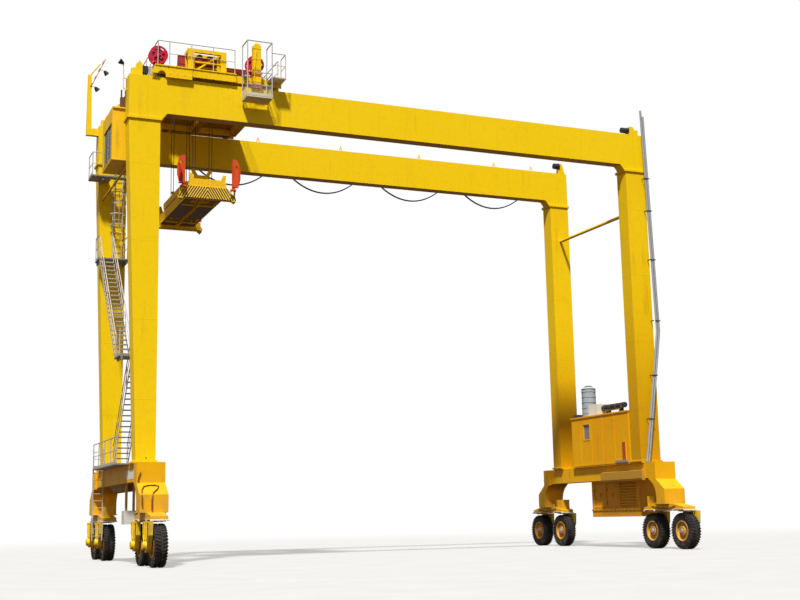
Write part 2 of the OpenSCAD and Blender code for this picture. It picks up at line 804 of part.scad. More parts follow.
// Rectangular trolley frame with its rail beams, deck, machinery frames and winch post
module trolley_frame() {
  y0 = girder_width / 2;
  y1 = far_y + girder_width / 2;
  d = deck_z;
  px = hoist_x + 1180 + 450;
  color([0.92, 0.75, 0.02]) {
    for (y = [y0, y1]) {
      box([trolley_left, y - 210, d - 60], [trolley_right, y + 210, d]);
      for (s = [-1, 1])
        box([trolley_left, y + s * 190 - 20, beam_bottom], [trolley_right, y + s * 190 + 20, d]);
    }
    rail_cover(y0 - 420);
    translate([0, y0 + y1, 0])
      mirror([0, 1, 0])
        rail_cover(y0 - 420);
    for (x = [trolley_left, hoist_x - 1110, hoist_x + 790, trolley_right - 320])
      box([x, y0 + 200, beam_bottom + 20], [x + 320, y1 - 200, d]);
    box([trolley_left, y0, d - 20], [hoist_x - 790, y1, d]);
    box([hoist_x + 790, y0, d - 20], [trolley_right, y1, d]);
    box([hoist_x - 800, y0, d - 20], [hoist_x + 800, y0 + 1150, d]);
    box([hoist_x - 800, y1 - 1150, d - 20], [hoist_x + 800, y1, d]);
    for (m = [0, 1])
      translate([0, m * (y0 + y1), 0])
        mirror([0, m, 0]) {
          machinery_portal(y0 - 130, 120);
          machinery_portal(y0 + 470, 90);
          for (x = [hoist_x - 1060, hoist_x + 350])
            box([x, y0 - 130, d + machine_h - 150], [x + 240, y0 + 560, d + machine_h]);
          box([trolley_left - 60, y0 - 130, d - 20], [trolley_left + 60, y0 + 130, d + 90]);
        }
    box([px, -330, girder_top - 60], [px + 340, -90, d + 1300]);
    xz(-330, -90)
      polygon([[px, d + 1299], [px + 340, d + 1299], [px + 250, d + 1400], [px + 90, d + 1400]]);
    box([px - 30, -350, girder_top - 90], [px + 370, -70, girder_top + 60]);
    box([px + 20, -100, d - 180], [px + 320, y0 - 205, d]);
  }
}

module trolley_wheels() {
  color([0.25, 0.25, 0.27])
    for (y = [girder_width / 2, far_y + girder_width / 2])
      for (x = wheel_x) {
        cyl_y([x, y, wheel_z], trolley_wheel_d, 110);
        for (s = [-1, 1])
          cyl_y([x, y + s * 65, wheel_z], trolley_wheel_d + 36, 24);
        cyl_y([x, y, wheel_z], 90, 340 - 2 * seat_gap, 24);
      }
}

// Rope drum with its flanges and shaft
module hoist_drum() {
  c = [hoist_x, trolley_y, drum_z];
  color([0.35, 0.22, 0.10]) {
    cyl_y(c, drum_d, drum_l, 64);
    for (s = [-1, 0, 1])
      cyl_y(c + [0, s * (drum_l - 40) / 2, 0], drum_d + 150, 40, 64);
    cyl_y(c, drum_shaft, drum_l + 500 - 2 * seat_gap, 32);
  }
}

// Gearbox, motors and brakes beside the drum
module hoist_machinery() {
  y = trolley_y - drum_l / 2 - 240;
  z = deck_z;
  color([0.45, 0.30, 0.12]) {
    box([hoist_x - 640, y - 560, z], [hoist_x + 560, y - 10, z + 760]);
    cyl_y([hoist_x - 150, y - 285, z + 640], 640, 550);
    cyl_x([hoist_x + 1180, y - 290, z + 430], 520, 1200);
    box([hoist_x + 700, y - 450, z], [hoist_x + 1650, y - 130, z + 230]);
    cyl_x([hoist_x + 620, y - 290, z + 430], 360, 240);
    cyl_x([hoist_x - 1130, y + 5200, z + 330], 460, 900);
    box([hoist_x - 1500, y + 5080, z], [hoist_x - 780, y + 5320, z + 200]);
    box([trolley_left + 250, 2500, z], [trolley_left + 1000, 5200, z + 900]);
    box([hoist_x - 700, girder_width / 2, z + 460], [hoist_x + 250, girder_width / 2 + 460, z + 560]);
    box([hoist_x - 700, girder_width / 2 - 120, z + 460], [hoist_x - 310, girder_width / 2 + 550, z + 490]);
    cyl_y([hoist_x - 520, girder_width / 2 + 230, z + 690], 270, 440, 48);
    cyl_x([hoist_x + 10, girder_width / 2 + 100, z + 680], 250, 420, 48);
    yz(hoist_x - 1480, hoist_x - 1200)
      polygon([[20, z], [420, z], [320, z + 500], [300, z + 640], [140, z + 640], [120, z + 500]]);
    box([trolley_right - 1500, 1200, z], [trolley_right - 500, 3600, z + 700]);
    for (s = [-1, 1])
      translate([hoist_x, trolley_y + s * (drum_l / 2 + 170), 0])
        xz(-60, 60)
          difference() {
            polygon([[-260, z], [260, z], [140, drum_z + 130], [-140, drum_z + 130]]);
            translate([0, drum_z])
              circle(d = drum_shaft + 2 * seat_gap, $fn = 48);
          }
  }
}

// Hand rails of the trolley, with the small side platform at its right end
module trolley_rails() {
  y0 = girder_width / 2;
  y1 = far_y + girder_width / 2;
  d = deck_z;
  low = d - 100;
  front = y0 - 395;
  xl = trolley_left + 25;
  up = [0, 0, rail_height];
  color([0.70, 0.70, 0.68]) {
    box([trolley_right - 640, y0 - 900, low - 50], [trolley_right, y0 - 210 - seat_gap, low]);
    rail_line([trolley_right - 615, y0 - 875, low], [trolley_right - 25, y0 - 875, low], 700);
    rail_line([trolley_right - 25, y0 - 875, low], [trolley_right - 25, y0 - 240, low], 700);
    rail_line([trolley_right - 25, y0 + 200, d], [trolley_right - 25, y1 - 200, d], 1900);
    bar([xl, front, d], [xl, front, d + rail_height], rail_tube);
    bar([xl, front, d + rail_height], [xl, y0 + 300, d + rail_height], rail_tube);
    rail_line([xl, y0 + 300, d], [xl, y1 - 200, d], 1900);
    rail_line([xl + 480, front, d], [fascia_right - 60, front, d], 1300);
    bar([xl, front, d + rail_height], [xl + 480, front, d + rail_height], rail_tube);
    rail_line([xl, y1 + 395, d], [fascia_right - 60, y1 + 395, d], 1700);
  }
}

// Basket hung in front of the near girder, with its tall pipe frame and post
module service_basket() {
  x0 = hoist_x + 1180;
  x1 = x0 + 1120;
  y0 = girder_width / 2 - 1230;
  y1 = -130;
  z = girder_top - 720;
  d = deck_z;
  t = 50;
  color([0.80, 0.74, 0.58]) {
    box([x0, y0, z], [x1, y1, z + 60]);
    for (x = [x0 + t / 2, x1 - t / 2]) {
      bar([x, y0 + t / 2, z], [x, y0 + t / 2, d + 1260], t);
      bar([x, y1 - t / 2, z], [x, y1 - t / 2, d + 1260], t);
      bar([x, y0 + t / 2, d + 1260], [x, y1 - t / 2, d + 1260], t);
      for (h = [550, 1100])
        bar([x, y0 + t / 2, z + h], [x, y1 - t / 2, z + h], t * 0.8);
    }
    for (h = [550, 1100])
      bar([x0 + t / 2, y0 + t / 2, z + h], [x1 - t / 2, y0 + t / 2, z + h], t * 0.8);
    bar([x0 + t / 2, y0 + t / 2, d + 1260], [x1 - t / 2, y0 + t / 2, d + 1260], t);
    bar([x0 + t / 2, y1 - t / 2, d - 25], [x0 + 450 - seat_gap, y1 - t / 2, d - 25], t * 0.8);
    bar([x0 + 790 + seat_gap, y1 - t / 2, d - 25], [x1 - t / 2, y1 - t / 2, d - 25], t * 0.8);
    box([x0 + 120, y1 - 60, d - 60], [x0 + 330, girder_width / 2 - 210 - seat_gap, d]);
  }
}

// One cable reel on its stand, its axis along Y
module reel(x, y, z) {
  for (s = [-1, 1])
    translate([0, s * 150, 0]) {
      difference() {
        cyl_y([x, y, z], reel_d, 30);
        for (a = [0:60:300])
          translate([x + 0.29 * reel_d * cos(a), y, z + 0.29 * reel_d * sin(a)])
            rotate([90, 0, 0])
              cylinder(h = 60, d = 0.23 * reel_d, center = true, $fn = 24);
      }
    }
  cyl_y([x, y, z], 260, 320, 32);
  cyl_y([x, y + 60, z], 110, 560, 24);
  translate([x, y + 300, 0])
    xz(-40, 40)
      polygon([[-160, deck_z], [200, deck_z], [90, z + 80], [-90, z + 80]]);
}

module cable_reels() {
  color([0.72, 0.10, 0.08]) {
    reel(trolley_left + 80, girder_width / 2 - 130, deck_z + 470);
    reel(hoist_x + 1845, girder_width / 2 - 30, deck_z + 640);
  }
}

// Hollow cab with window and door openings, hung from the trolley by a frame
module cab_shell() {
  w = cab_wall;
  a = [cab_left, cab_near, cab_bottom];
  b = [cab_right, cab_far, cab_top];
  lx = b[0] - a[0];
  ly = b[1] - a[1];
  color([0.90, 0.68, 0.03]) {
    difference() {
      union() {
        box(a, b);
        box([a[0] - 0, a[1] - 60, b[2]], [b[0] + 60, b[1] + 60, b[2] + 60]);
      }
      box(a + [w, w, w], b - [w, w, w]);
      box([a[0] - 1, a[1] + 180, a[2] + 130], [a[0] + w + 1, b[1] - 350, b[2] - 600]);
      box([b[0] - w - 1, a[1] + 140, a[2] + 420], [b[0] + w, b[1] - 140, b[2] - 160]);
      box([b[0] - 900, a[1] + 160, a[2] - 1], [b[0] - 160, b[1] - 160, a[2] + w + 1]);
      box([a[0] + 1000, b[1] - w - 1, a[2] + 700], [b[0] - 140, b[1] + 1, b[2] - 160]);
      box([a[0] + 160, b[1] - w - 1, a[2] + w + 40], [a[0] + 860, b[1] + 1, b[2] - 160]);
      box([a[0] + 1250, a[1] - 1, a[2] + 800], [b[0] - 140, a[1] + w + 1, b[2] - 160]);
    }
    for (y = [a[1] + 150, b[1] - 350]) {
      box([trolley_left + 20, y, b[2] + 60], [trolley_left + 220, y + 200, beam_bottom + 20]);
      box([a[0] + 250, y, b[2] + 60], [b[0] - 100, y + 200, b[2] + 240]);
      xz(y + 60, y + 140)
        polygon([[a[0] + 300, b[2] + 230], [trolley_left + 30, beam_bottom + 10],
          [trolley_left + 30, beam_bottom - 160], [a[0] + 460, b[2] + 230]]);
    }
  }
}

module cab_glazing() {
  w = cab_wall;
  g = glass_t;
  m = (w - g) / 2;
  a = [cab_left, cab_near, cab_bottom];
  b = [cab_right, cab_far, cab_top];
  color([0.35, 0.50, 0.60, 0.4]) {
    box([a[0] + m, a[1] + 180, a[2] + 130], [a[0] + m + g, b[1] - 350, b[2] - 600]);
    box([b[0] - m - g, a[1] + 140, a[2] + 420], [b[0] - m, b[1] - 140, b[2] - 160]);
    box([b[0] - 900, a[1] + 160, a[2] + m], [b[0] - 160, b[1] - 160, a[2] + m + g]);
    box([a[0] + 1000, b[1] - m - g, a[2] + 700], [b[0] - 140, b[1] - m, b[2] - 160]);
    box([a[0] + 160, b[1] - m - g, a[2] + w + 40], [a[0] + 860, b[1] - m, b[2] - 160]);
    box([a[0] + 1250, a[1] + m, a[2] + 800], [b[0] - 140, a[1] + m + g, b[2] - 160]);
  }
}

// Positions of the rope falls along Y
rope_y = [trolley_y - 1750, trolley_y - 1250, trolley_y + 1250, trolley_y + 1750];

// Hoist ropes from the drum down to the sheaves of the headblock
module hoist_ropes() {
  color([0.12, 0.12, 0.13])
    for (y = rope_y)
      for (s = [-1, 1])
        translate([hoist_x + s * rope_x, y, sheave_z])
          cylinder(h = drum_z - sheave_z, d = rope_d, $fn = 12);
}

// Frame with sheaves and lifting lugs, locked on the spreader
module headblock() {
  z = sp_top + 150;
  c = rope_x - 200 - rope_d / 2 - seat_gap;
  color([0.88, 0.68, 0.04]) {
    box([hoist_x - 760, trolley_y - 2050, z], [hoist_x - 560, trolley_y + 2050, z + 300]);
    box([hoist_x + 560, trolley_y - 2050, z], [hoist_x + 760, trolley_y + 2050, z + 300]);
    for (y = [-2050, -1100, 900, 1850])
      box([hoist_x - 760, trolley_y + y, z], [hoist_x + 760, trolley_y + y + 200, z + 300]);
    for (y = [trolley_y - 1960, trolley_y + 1900])
      xz(y, y + 60)
        polygon([[hoist_x - 380, z + 290], [hoist_x + 380, z + 290], [hoist_x + 330, z + 620],
          [hoist_x + 470, z + 860], [hoist_x + 330, z + 900], [hoist_x + 170, z + 640],
          [hoist_x - 170, z + 640], [hoist_x - 330, z + 900], [hoist_x - 470, z + 860],
          [hoist_x - 330, z + 620]]);
    for (y = rope_y)
      for (s = [-1, 1]) {
        cyl_y([hoist_x + s * c, y, z + 360], 400, 60, 32);
        for (q = [-1, 1])
          box([hoist_x + s * c - 110, y + q * 55 - 15, z + 280],
            [hoist_x + s * c + 110, y + q * 55 + 15, z + 460]);
        cyl_y([hoist_x + s * c, y, z + 360], 80, 180, 24);
        box([hoist_x + s * c - 110, y - 300, z + 200], [hoist_x + s * c + 110, y + 300,
          z + 300]);
      }
    for (x = [-660, 660])
      for (y = [-1900, 1900])
        translate([hoist_x + x, trolley_y + y, sp_top + 60])
          cylinder(h = 100, d = 160, $fn = 24);
  }
}

// X offsets of the four telescope tunnels, outer pair for the near end, inner pair for the far end
tunnel_x = [-585, -245, 245, 585];
tunnel_w = 260;
tunnel_h = 300;

// Fixed middle of the spreader: two plates and webs that guide the telescope bars
module spreader_frame() {
  y0 = sp_near + 420;
  y1 = sp_far - 420;
  z0 = sp_z + 190;
  z1 = sp_top + 60;
  h = tunnel_h;
  color([0.90, 0.70, 0.03])
    difference() {
      box([hoist_x - 790, y0, z0], [hoist_x + 790, y1, z1]);
      for (x = tunnel_x)
        box([hoist_x + x - tunnel_w / 2, y0 - 10, z0 + 60], [hoist_x + x + tunnel_w / 2, y1 + 10, z0 + 60 + h]);
      box([hoist_x - 90, y0 - 10, z0 - 10], [hoist_x + 90, y1 + 10, z0 + 60 + h]);
      for (y = [y0 + 500, y1 - 1500])
        box([hoist_x - 700, y, z0 - 10], [hoist_x + 700, y + 1000, z0 + 61]);
    }
}

// One end of the spreader, drawn for the near end; x pair holds its telescope bars
module spreader_end(pair) {
  g = run_gap;
  w = spreader_width;
  y = sp_near;
  z0 = sp_z + 190 + 60 + seat_gap;
  bw = tunnel_w - 2 * g;
  bh = tunnel_h - 2 * g;
  plate = 320;
  difference() {
    union() {
      xz(y, y + plate)
        polygon([[hoist_x - w / 2, sp_z + 60], [hoist_x + w / 2, sp_z + 60], [hoist_x + w / 2, sp_z + 150],
          [hoist_x + 830, sp_top], [hoist_x - 830, sp_top], [hoist_x - w / 2, sp_z + 150]]);
      for (x = [-1, 1])
        box([hoist_x + x * (w / 2 - 90) - 90, y, sp_z], [hoist_x + x * (w / 2 - 90) + 90, y + 180, sp_z + 149]);
      for (x = pair)
        box([hoist_x + x - bw / 2, y + plate - 1, z0], [hoist_x + x + bw / 2, y + 4450, z0 + bh]);
      xz(y + 20, y + 60)
        polygon([[hoist_x - 830, sp_top - 1], [hoist_x + 830, sp_top - 1], [hoist_x + 770, sp_top + 300],
          [hoist_x + 800, sp_top + 560], [hoist_x + 660, sp_top + 560], [hoist_x + 590, sp_top + 330],
          [hoist_x - 590, sp_top + 330], [hoist_x - 660, sp_top + 560], [hoist_x - 800, sp_top + 560],
          [hoist_x - 770, sp_top + 300]]);
      for (x = [-760, 740])
        yz(hoist_x + x, hoist_x + x + 20)
          polygon([[y + 59, sp_top - 1], [y + plate, sp_top - 1], [y + 59, sp_top + 480]]);
    }
    box([hoist_x - w / 2 + 200, y + 60, sp_z + 59], [hoist_x + w / 2 - 200, y + plate - 40, sp_z + 400]);
  }
  for (x = [-1, 1]) {
    translate([hoist_x + x * (w / 2 - 90), y + 90, sp_z - 75])
      cylinder(h = 80, d = 70, $fn = 24);
    for (q = [58, 238])
      translate([hoist_x + x * (w / 2 - q), 0, 0])
        difference() {
          yz(-12, 12)
            polygon([[y + 160, sp_z + 70], [y + 160, guide_z - 40], [y + 100, guide_z + 60], [y - guide_y, guide_z + 60],
              [y - guide_y - 60, guide_z + 30], [y - guide_y - 60, guide_z - 30], [y - guide_y, guide_z - 60],
              [y - 55 + run_gap, guide_z - 95], [y - 55 + run_gap, sp_z + 200], [y + 1, sp_z + 70]]);
          cyl_x([0, y - guide_y, guide_z], 60 + 2 * seat_gap, 30, 32);
        }
  }
}

// Pivot height of the corner guides, and its distance in front of the end face
guide_z = sp_top - 90;
guide_y = 130;

module near_spreader_end() {
  color([0.92, 0.72, 0.02])
    spreader_end([tunnel_x[0], tunnel_x[3]]);
}

module far_spreader_end() {
  color([0.92, 0.72, 0.02])
    translate([0, 2 * trolley_y, 0])
      mirror([0, 1, 0])
        spreader_end([tunnel_x[1], tunnel_x[2]]);
}

// A corner guide in its raised position, drawn for the near right corner
module guide_shape() {
  x = hoist_x + spreader_width / 2;
  y = sp_near - guide_y;
  z = guide_z;
  t = 18;
  cyl_x([x - 148, y, z], 110, 156 - 2 * seat_gap, 32);
  cyl_x([x - 148, y, z], 60, 240, 32);
  box([x - 205, y - 50, z + 20], [x - 90, y + 50, z + guide_l]);
  xz(y - 75, y - 75 + t)
    difference() {
      polygon([[x - 210, z + 110], [x + 66, z + 160], [x + 140, z + 480], [x + 130, z + guide_l - 420],
        [x + 40, z + guide_l - 110], [x - 60, z + guide_l], [x - 210, z + guide_l - 40]]);
      translate([x - 30, z + guide_l - 330])
        circle(d = 130, $fn = 32);
    }
  yz(x + 48, x + 66)
    polygon([[y - 75, z + 160], [y - 320, z + 400], [y - 320, z + guide_l - 420], [y - 75, z + guide_l - 330]]);
  box([x - 210, y - 70, z + 110], [x + 60, y + 40, z + 140]);
}

module near_right_guide() {
  color([0.80, 0.16, 0.06])
    guide_shape();
}

module near_left_guide() {
  color([0.80, 0.16, 0.06])
    translate([2 * hoist_x, 0, 0])
      mirror([1, 0, 0])
        guide_shape();
}

module far_right_guide() {
  color([0.80, 0.16, 0.06])
    translate([0, 2 * trolley_y, 0])
      mirror([0, 1, 0])
        guide_shape();
}

module far_left_guide() {
  color([0.80, 0.16, 0.06])
    translate([2 * hoist_x, 2 * trolley_y, 0])
      mirror([1, 0, 0])
        mirror([0, 1, 0])
          guide_shape();
}

// Wheel places: 1 to 4 on the left from near to far, 5 to 8 on the right
outer_wheel = inner_wheel + wheel_pitch;
wheel_y = [leg_y - outer_wheel, leg_y - inner_wheel, far_y + leg_y + inner_wheel,
  far_y + leg_y + outer_wheel];

// One-sided wheel yoke under a bogie beam; side is -1 for the left row and 1 for the right
module yoke_shape(c, y, side) {
  top = bogie_bottom - 25 - seat_gap;
  arm = tyre_w / 2 + 40;
  translate([c, y, 0])
    mirror([side > 0 ? 0 : 1, 0, 0]) {
      translate([0, 0, top - 45])
        cylinder(h = 45, d = 600, $fn = 48);
      box([-140, -210, top - 60], [arm + 150, 210, top - 25]);
      yz(arm, arm + 150)
        polygon([[-540, top - 26], [540, top - 26], [500, axle_z + 380], [230, axle_z - 130],
          [120, axle_z - 240], [-120, axle_z - 240], [-230, axle_z - 130], [-500, axle_z + 380]]);
      cyl_x([arm + 200, 0, axle_z], 330, 110, 32);
      cyl_x([arm / 2 + 25 - 60, 0, axle_z], axle_d, arm + 120, 32);
    }
}

// Tyre with its rim and hub; side as for the yoke
module wheel_shape(c, y, side) {
  hub = 420;
  translate([c, y, 0])
    mirror([side > 0 ? 0 : 1, 0, 0])
      difference() {
        union() {
          translate([0, 0, axle_z])
            rotate([0, 90, 0])
              rotate_extrude($fn = 96)
                polygon([[0, -tyre_w / 2 + 110], [rim_d / 2 - 30, -tyre_w / 2 + 110],
                  [rim_d / 2 - 30, -tyre_w / 2 + 30], [rim_d / 2 + 60, -tyre_w / 2], [tyre_d / 2 - 70, -tyre_w / 2],
                  [tyre_d / 2, -tyre_w / 2 + 60], [tyre_d / 2, tyre_w / 2 - 60], [tyre_d / 2 - 70, tyre_w / 2],
                  [rim_d / 2 + 60, tyre_w / 2], [rim_d / 2 - 30, tyre_w / 2 - 30],
                  [rim_d / 2 - 30, tyre_w / 2 - 110], [0, tyre_w / 2 - 110]]);
          cyl_x([0, 0, axle_z], hub, tyre_w - 60, 48);
          cyl_x([-tyre_w / 2 + 10, 0, axle_z], 250, 60, 32);
        }
        translate([run_gap + tyre_w / 2 - 145, 0, axle_z])
          rotate([0, 90, 0])
            cylinder(h = tyre_w, d = axle_d + 2 * seat_gap, center = true, $fn = 48);
      }
}

module yoke_at(i) {
  color([0.86, 0.60, 0.04])
    yoke_shape(i < 4 ? left_c : right_c, wheel_y[i % 4], i < 4 ? -1 : 1);
}

module wheel_at(i) {
  color([0.10, 0.10, 0.11])
    wheel_shape(i < 4 ? left_c : right_c, wheel_y[i % 4], i < 4 ? -1 : 1);
}

module yoke_1() {
  yoke_at(0);
}

module yoke_2() {
  yoke_at(1);
}

module yoke_3() {
  yoke_at(2);
}

module yoke_4() {
  yoke_at(3);
}

module yoke_5() {
  yoke_at(4);
}

module yoke_6() {
  yoke_at(5);
}

module yoke_7() {
  yoke_at(6);
}

module yoke_8() {
  yoke_at(7);
}

module wheel_1() {
  wheel_at(0);
}

module wheel_2() {
  wheel_at(1);
}

module wheel_3() {
  wheel_at(2);
}

module wheel_4() {
  wheel_at(3);
}

module wheel_5() {
  wheel_at(4);
}

module wheel_6() {
  wheel_at(5);
}

module wheel_7() {
  wheel_at(6);
}

module wheel_8() {
  wheel_at(7);
}

placed() near_girder();
placed() far_girder();
placed() near_left_leg();
placed() far_left_leg();
placed() near_right_leg();
placed() far_right_leg();
placed() left_sill();
placed() right_sill();
placed() leg_ties();
placed() near_left_bogie();
placed() far_left_bogie();
placed() near_right_bogie();
placed() far_right_bogie();
placed() machine_house();
placed() generator_housing();
placed() roof_equipment();
placed() exhaust_pipe();
placed() lower_stair();
placed() upper_stair();
placed() platforms();
placed() guard_rails();
placed() access_ladders();
placed() festoon_track();
placed() festoon_cable();
placed() control_cabinet();
placed() lamp_mast();
placed() trolley_frame();
placed() hoist_machinery();
placed() hoist_drum();
placed() trolley_wheels();
placed() trolley_rails();
placed() service_basket();
placed() cable_reels();
placed() cab_shell();
placed() cab_glazing();
placed() hoist_ropes();
placed() headblock();
placed() spreader_frame();
placed() near_spreader_end();
placed() far_spreader_end();
placed() near_left_guide();
placed() near_right_guide();
placed() far_left_guide();
placed() far_right_guide();
placed() yoke_1();
placed() yoke_2();
placed() yoke_3();
placed() yoke_4();
placed() yoke_5();
placed() yoke_6();
placed() yoke_7();
placed() yoke_8();
placed() wheel_1();
placed() wheel_2();
placed() wheel_3();
placed() wheel_4();
placed() wheel_5();
placed() wheel_6();
placed() wheel_7();
placed() wheel_8();
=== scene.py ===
"""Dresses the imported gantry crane: finishes, small fittings, tyres, ropes and the stage."""

import json
import math

import bmesh
import bpy
from bpy.props import FloatProperty, FloatVectorProperty, IntProperty, PointerProperty
from mathutils import Matrix, Vector


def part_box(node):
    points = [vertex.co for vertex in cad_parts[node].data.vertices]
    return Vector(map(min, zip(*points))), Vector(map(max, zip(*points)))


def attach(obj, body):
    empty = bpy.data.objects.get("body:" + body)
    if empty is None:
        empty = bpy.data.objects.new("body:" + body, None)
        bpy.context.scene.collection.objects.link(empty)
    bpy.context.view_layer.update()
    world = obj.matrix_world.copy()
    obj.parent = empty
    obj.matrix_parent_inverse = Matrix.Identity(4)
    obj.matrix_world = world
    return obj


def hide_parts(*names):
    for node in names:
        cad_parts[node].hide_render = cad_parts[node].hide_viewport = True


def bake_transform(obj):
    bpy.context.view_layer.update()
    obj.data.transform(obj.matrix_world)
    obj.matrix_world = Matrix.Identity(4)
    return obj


bl_info = {
    "name": "Yard gantry crane dressing",
    "version": (1, 0, 0),
    "blender": (4, 5, 0),
    "location": "View3D > Sidebar > Gantry crane",
    "description": "Adds finishes and fittings to a rubber tyred gantry crane",
    "category": "Object",
}

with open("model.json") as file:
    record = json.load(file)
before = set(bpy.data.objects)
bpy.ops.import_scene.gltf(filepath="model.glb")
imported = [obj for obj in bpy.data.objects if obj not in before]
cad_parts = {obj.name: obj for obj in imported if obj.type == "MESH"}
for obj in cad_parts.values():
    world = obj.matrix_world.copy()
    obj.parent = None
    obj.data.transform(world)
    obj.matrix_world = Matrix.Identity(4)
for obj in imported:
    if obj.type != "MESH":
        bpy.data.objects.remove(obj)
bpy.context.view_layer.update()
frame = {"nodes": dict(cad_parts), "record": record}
NODES = frame["nodes"]
BODY_OF = {node: body for body, members in frame["record"]["behaviour"]["bodies"].items()
           for node in members}
AXES = {"X": 0, "Y": 1, "Z": 2}
FLANGE_LIP = 0.06

# The drawing's origin is the left legs' inner face, the near portal's front and the ground
_leg_low, _leg_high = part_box("near_left_leg")
DRAWING_ORIGIN = Vector((_leg_high.x - FLANGE_LIP, _leg_low.y + FLANGE_LIP, 0.0))


def dr(x, y, z):
    """A point of the drawing, in the row frame."""
    return Vector((x, y, z)) + DRAWING_ORIGIN


def corners(node):
    """Lowest and highest corner of a CAD node, in drawing coordinates."""
    low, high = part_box(node)
    return low - DRAWING_ORIGIN, high - DRAWING_ORIGIN


def middle(node):
    """Middle of a CAD node's box, in drawing coordinates."""
    low, high = corners(node)
    return (low + high) / 2


def nominal(value):
    """A measure from the frame, to a tenth of a millimetre."""
    return round(value, 4)


# Places that many pieces share, in drawing coordinates
LEFT_LEGS_X = nominal(middle("left_sill").x)
RIGHT_LEGS_X = nominal(middle("near_right_bogie").x)
NEAR_LEGS_Y = nominal(middle("near_left_leg").y)
FAR_LEGS_Y = nominal(middle("far_left_leg").y)
CORNER_DROP = 1.83
GIRDER_TOP = nominal(corners("near_left_leg")[1].z + CORNER_DROP)
DECK_TOP = nominal(corners("hoist_machinery")[0].z)
HOIST_X, HOIST_Y = map(nominal, middle("headblock").xy)
SHEAVE_Z, DRUM_Z = (nominal(corner.z) for corner in corners("hoist_ropes"))
HALF_GAUGE = (FAR_LEGS_Y - NEAR_LEGS_Y) / 2
RAILS_Y = {"near": HOIST_Y - HALF_GAUGE, "far": HOIST_Y + HALF_GAUGE}
ROPES_Y = (2.13, 2.63, 5.13, 5.63)
ROPE_OUT = 0.4943
ROPE_RADIUS = 0.0138
BEAM_Y = {"near": 0.85, "far": 6.91}
BEAM_FOOT = 0.075
BEAM_BASE = nominal(corners("near_spreader_end")[0].z + BEAM_FOOT)
BEAM_HEIGHT = 0.56


# Sizes and colours that a user may change

def colour_setting(name, description, default):
    """A colour that a user may change."""
    return FloatVectorProperty(name=name, description=description, default=default,
                               subtype="COLOR", size=3, min=0.0, max=1.0)


def length_setting(name, description, default, low, high):
    """A length that a user may change."""
    return FloatProperty(name=name, description=description, default=default, unit="LENGTH",
                         min=low, max=high)


class CranePaint(bpy.types.PropertyGroup):
    """Colours of the crane's finishes."""
    yellow: colour_setting("Portal yellow", "Paint of the girders and legs", (0.87, 0.595, 0.0))
    orange: colour_setting("Sill yellow", "Darker paint of the sills, houses and bogies",
                           (0.80, 0.42, 0.0))
    faded: colour_setting("Faded yellow", "Bleached paint in large patches", (0.88, 0.60, 0.004))
    # The grime colour is also the painted shade on faces that look down.
    grime_and_shade: colour_setting("Grime", "Brown run-off on the paint", (0.17, 0.065, 0.010))
    rust: colour_setting("Rust", "Rust spots and edges", (0.16, 0.048, 0.014))
    red: colour_setting("Reel red", "Paint of the cable reels", (0.60, 0.014, 0.05))
    guide: colour_setting("Guide red", "Paint of the corner guides", (0.62, 0.045, 0.015))
    galvanised: colour_setting("Galvanised steel", "Stairs, ladders and rails",
                               (0.55, 0.52, 0.45))
    exhaust: colour_setting("Exhaust grey", "Exhaust pipe and silencer", (0.36, 0.38, 0.40))
    rubber: colour_setting("Tyre black", "Rubber of the tyres", (0.022, 0.021, 0.021))


class CraneFittings(bpy.types.PropertyGroup):
    """Sizes of the small fittings."""
    bolt_width: length_setting("Bogie bolt", "Width across the flats of a bogie bolt", 0.046,
                               0.01, 0.1)
    bolt_pitch: length_setting("Bolt pitch", "Distance between two flange bolts", 0.16, 0.05, 0.5)
    clip_pitch: length_setting("Rail clip pitch", "Distance between two rail clips", 0.65, 0.2,
                               2.0)
    grating_pitch: length_setting("Grating pitch", "Distance between two bearing bars", 0.05,
                                  0.02, 0.2)
    tread_lugs: IntProperty(
        name="Tread lugs", description="Lugs in each row of a tyre's tread", default=38,
        min=8, max=90)
    rope_turns: IntProperty(
        name="Rope turns", description="Turns of rope on each half of the drum",
        default=30, min=4, max=60)


# Shader arithmetic

class Signal:
    """A shader socket that takes part in plain arithmetic."""

    def __init__(self, finish, socket):
        self.finish = finish
        self.socket = socket

    def _math(self, operation, *values, clamp=False):
        return self.finish.add("ShaderNodeMath", {"operation": operation, "use_clamp": clamp},
                               dict(enumerate(values)))

    def __add__(self, other):
        return self._math("ADD", self, other)

    def __radd__(self, other):
        return self._math("ADD", other, self)

    def __sub__(self, other):
        return self._math("SUBTRACT", self, other)

    def __rsub__(self, other):
        return self._math("SUBTRACT", other, self)

    def __mul__(self, other):
        return self._math("MULTIPLY", self, other)

    def __rmul__(self, other):
        return self._math("MULTIPLY", other, self)

    def __truediv__(self, other):
        return self._math("DIVIDE", self, other)

    def __rtruediv__(self, other):
        return self._math("DIVIDE", other, self)

    def __gt__(self, other):
        return self._math("GREATER_THAN", self, other)

    def __lt__(self, other):
        return self._math("LESS_THAN", self, other)

    def clamped(self):
        """The value held between 0 and 1."""
        return self._math("ADD", self, 0.0, clamp=True)

    def larger(self, other):
        """The larger of the two values."""
        return self._math("MAXIMUM", self, other)

    def there_and_back(self, reach):
        """Rises and falls between 0 and reach."""
        return self._math("PINGPONG", self, reach)

    def size(self):
        """The value without its sign."""
        return self._math("ABSOLUTE", self)

    def between(self, low, high, out_low=0.0, out_high=1.0):
        """Maps low..high to out_low..out_high, smoothly and held at both ends."""
        return self.finish.add(
            "ShaderNodeMapRange", {"interpolation_type": "SMOOTHSTEP", "clamp": True},
            {0: self, 1: low, 2: high, 3: out_low, 4: out_high})


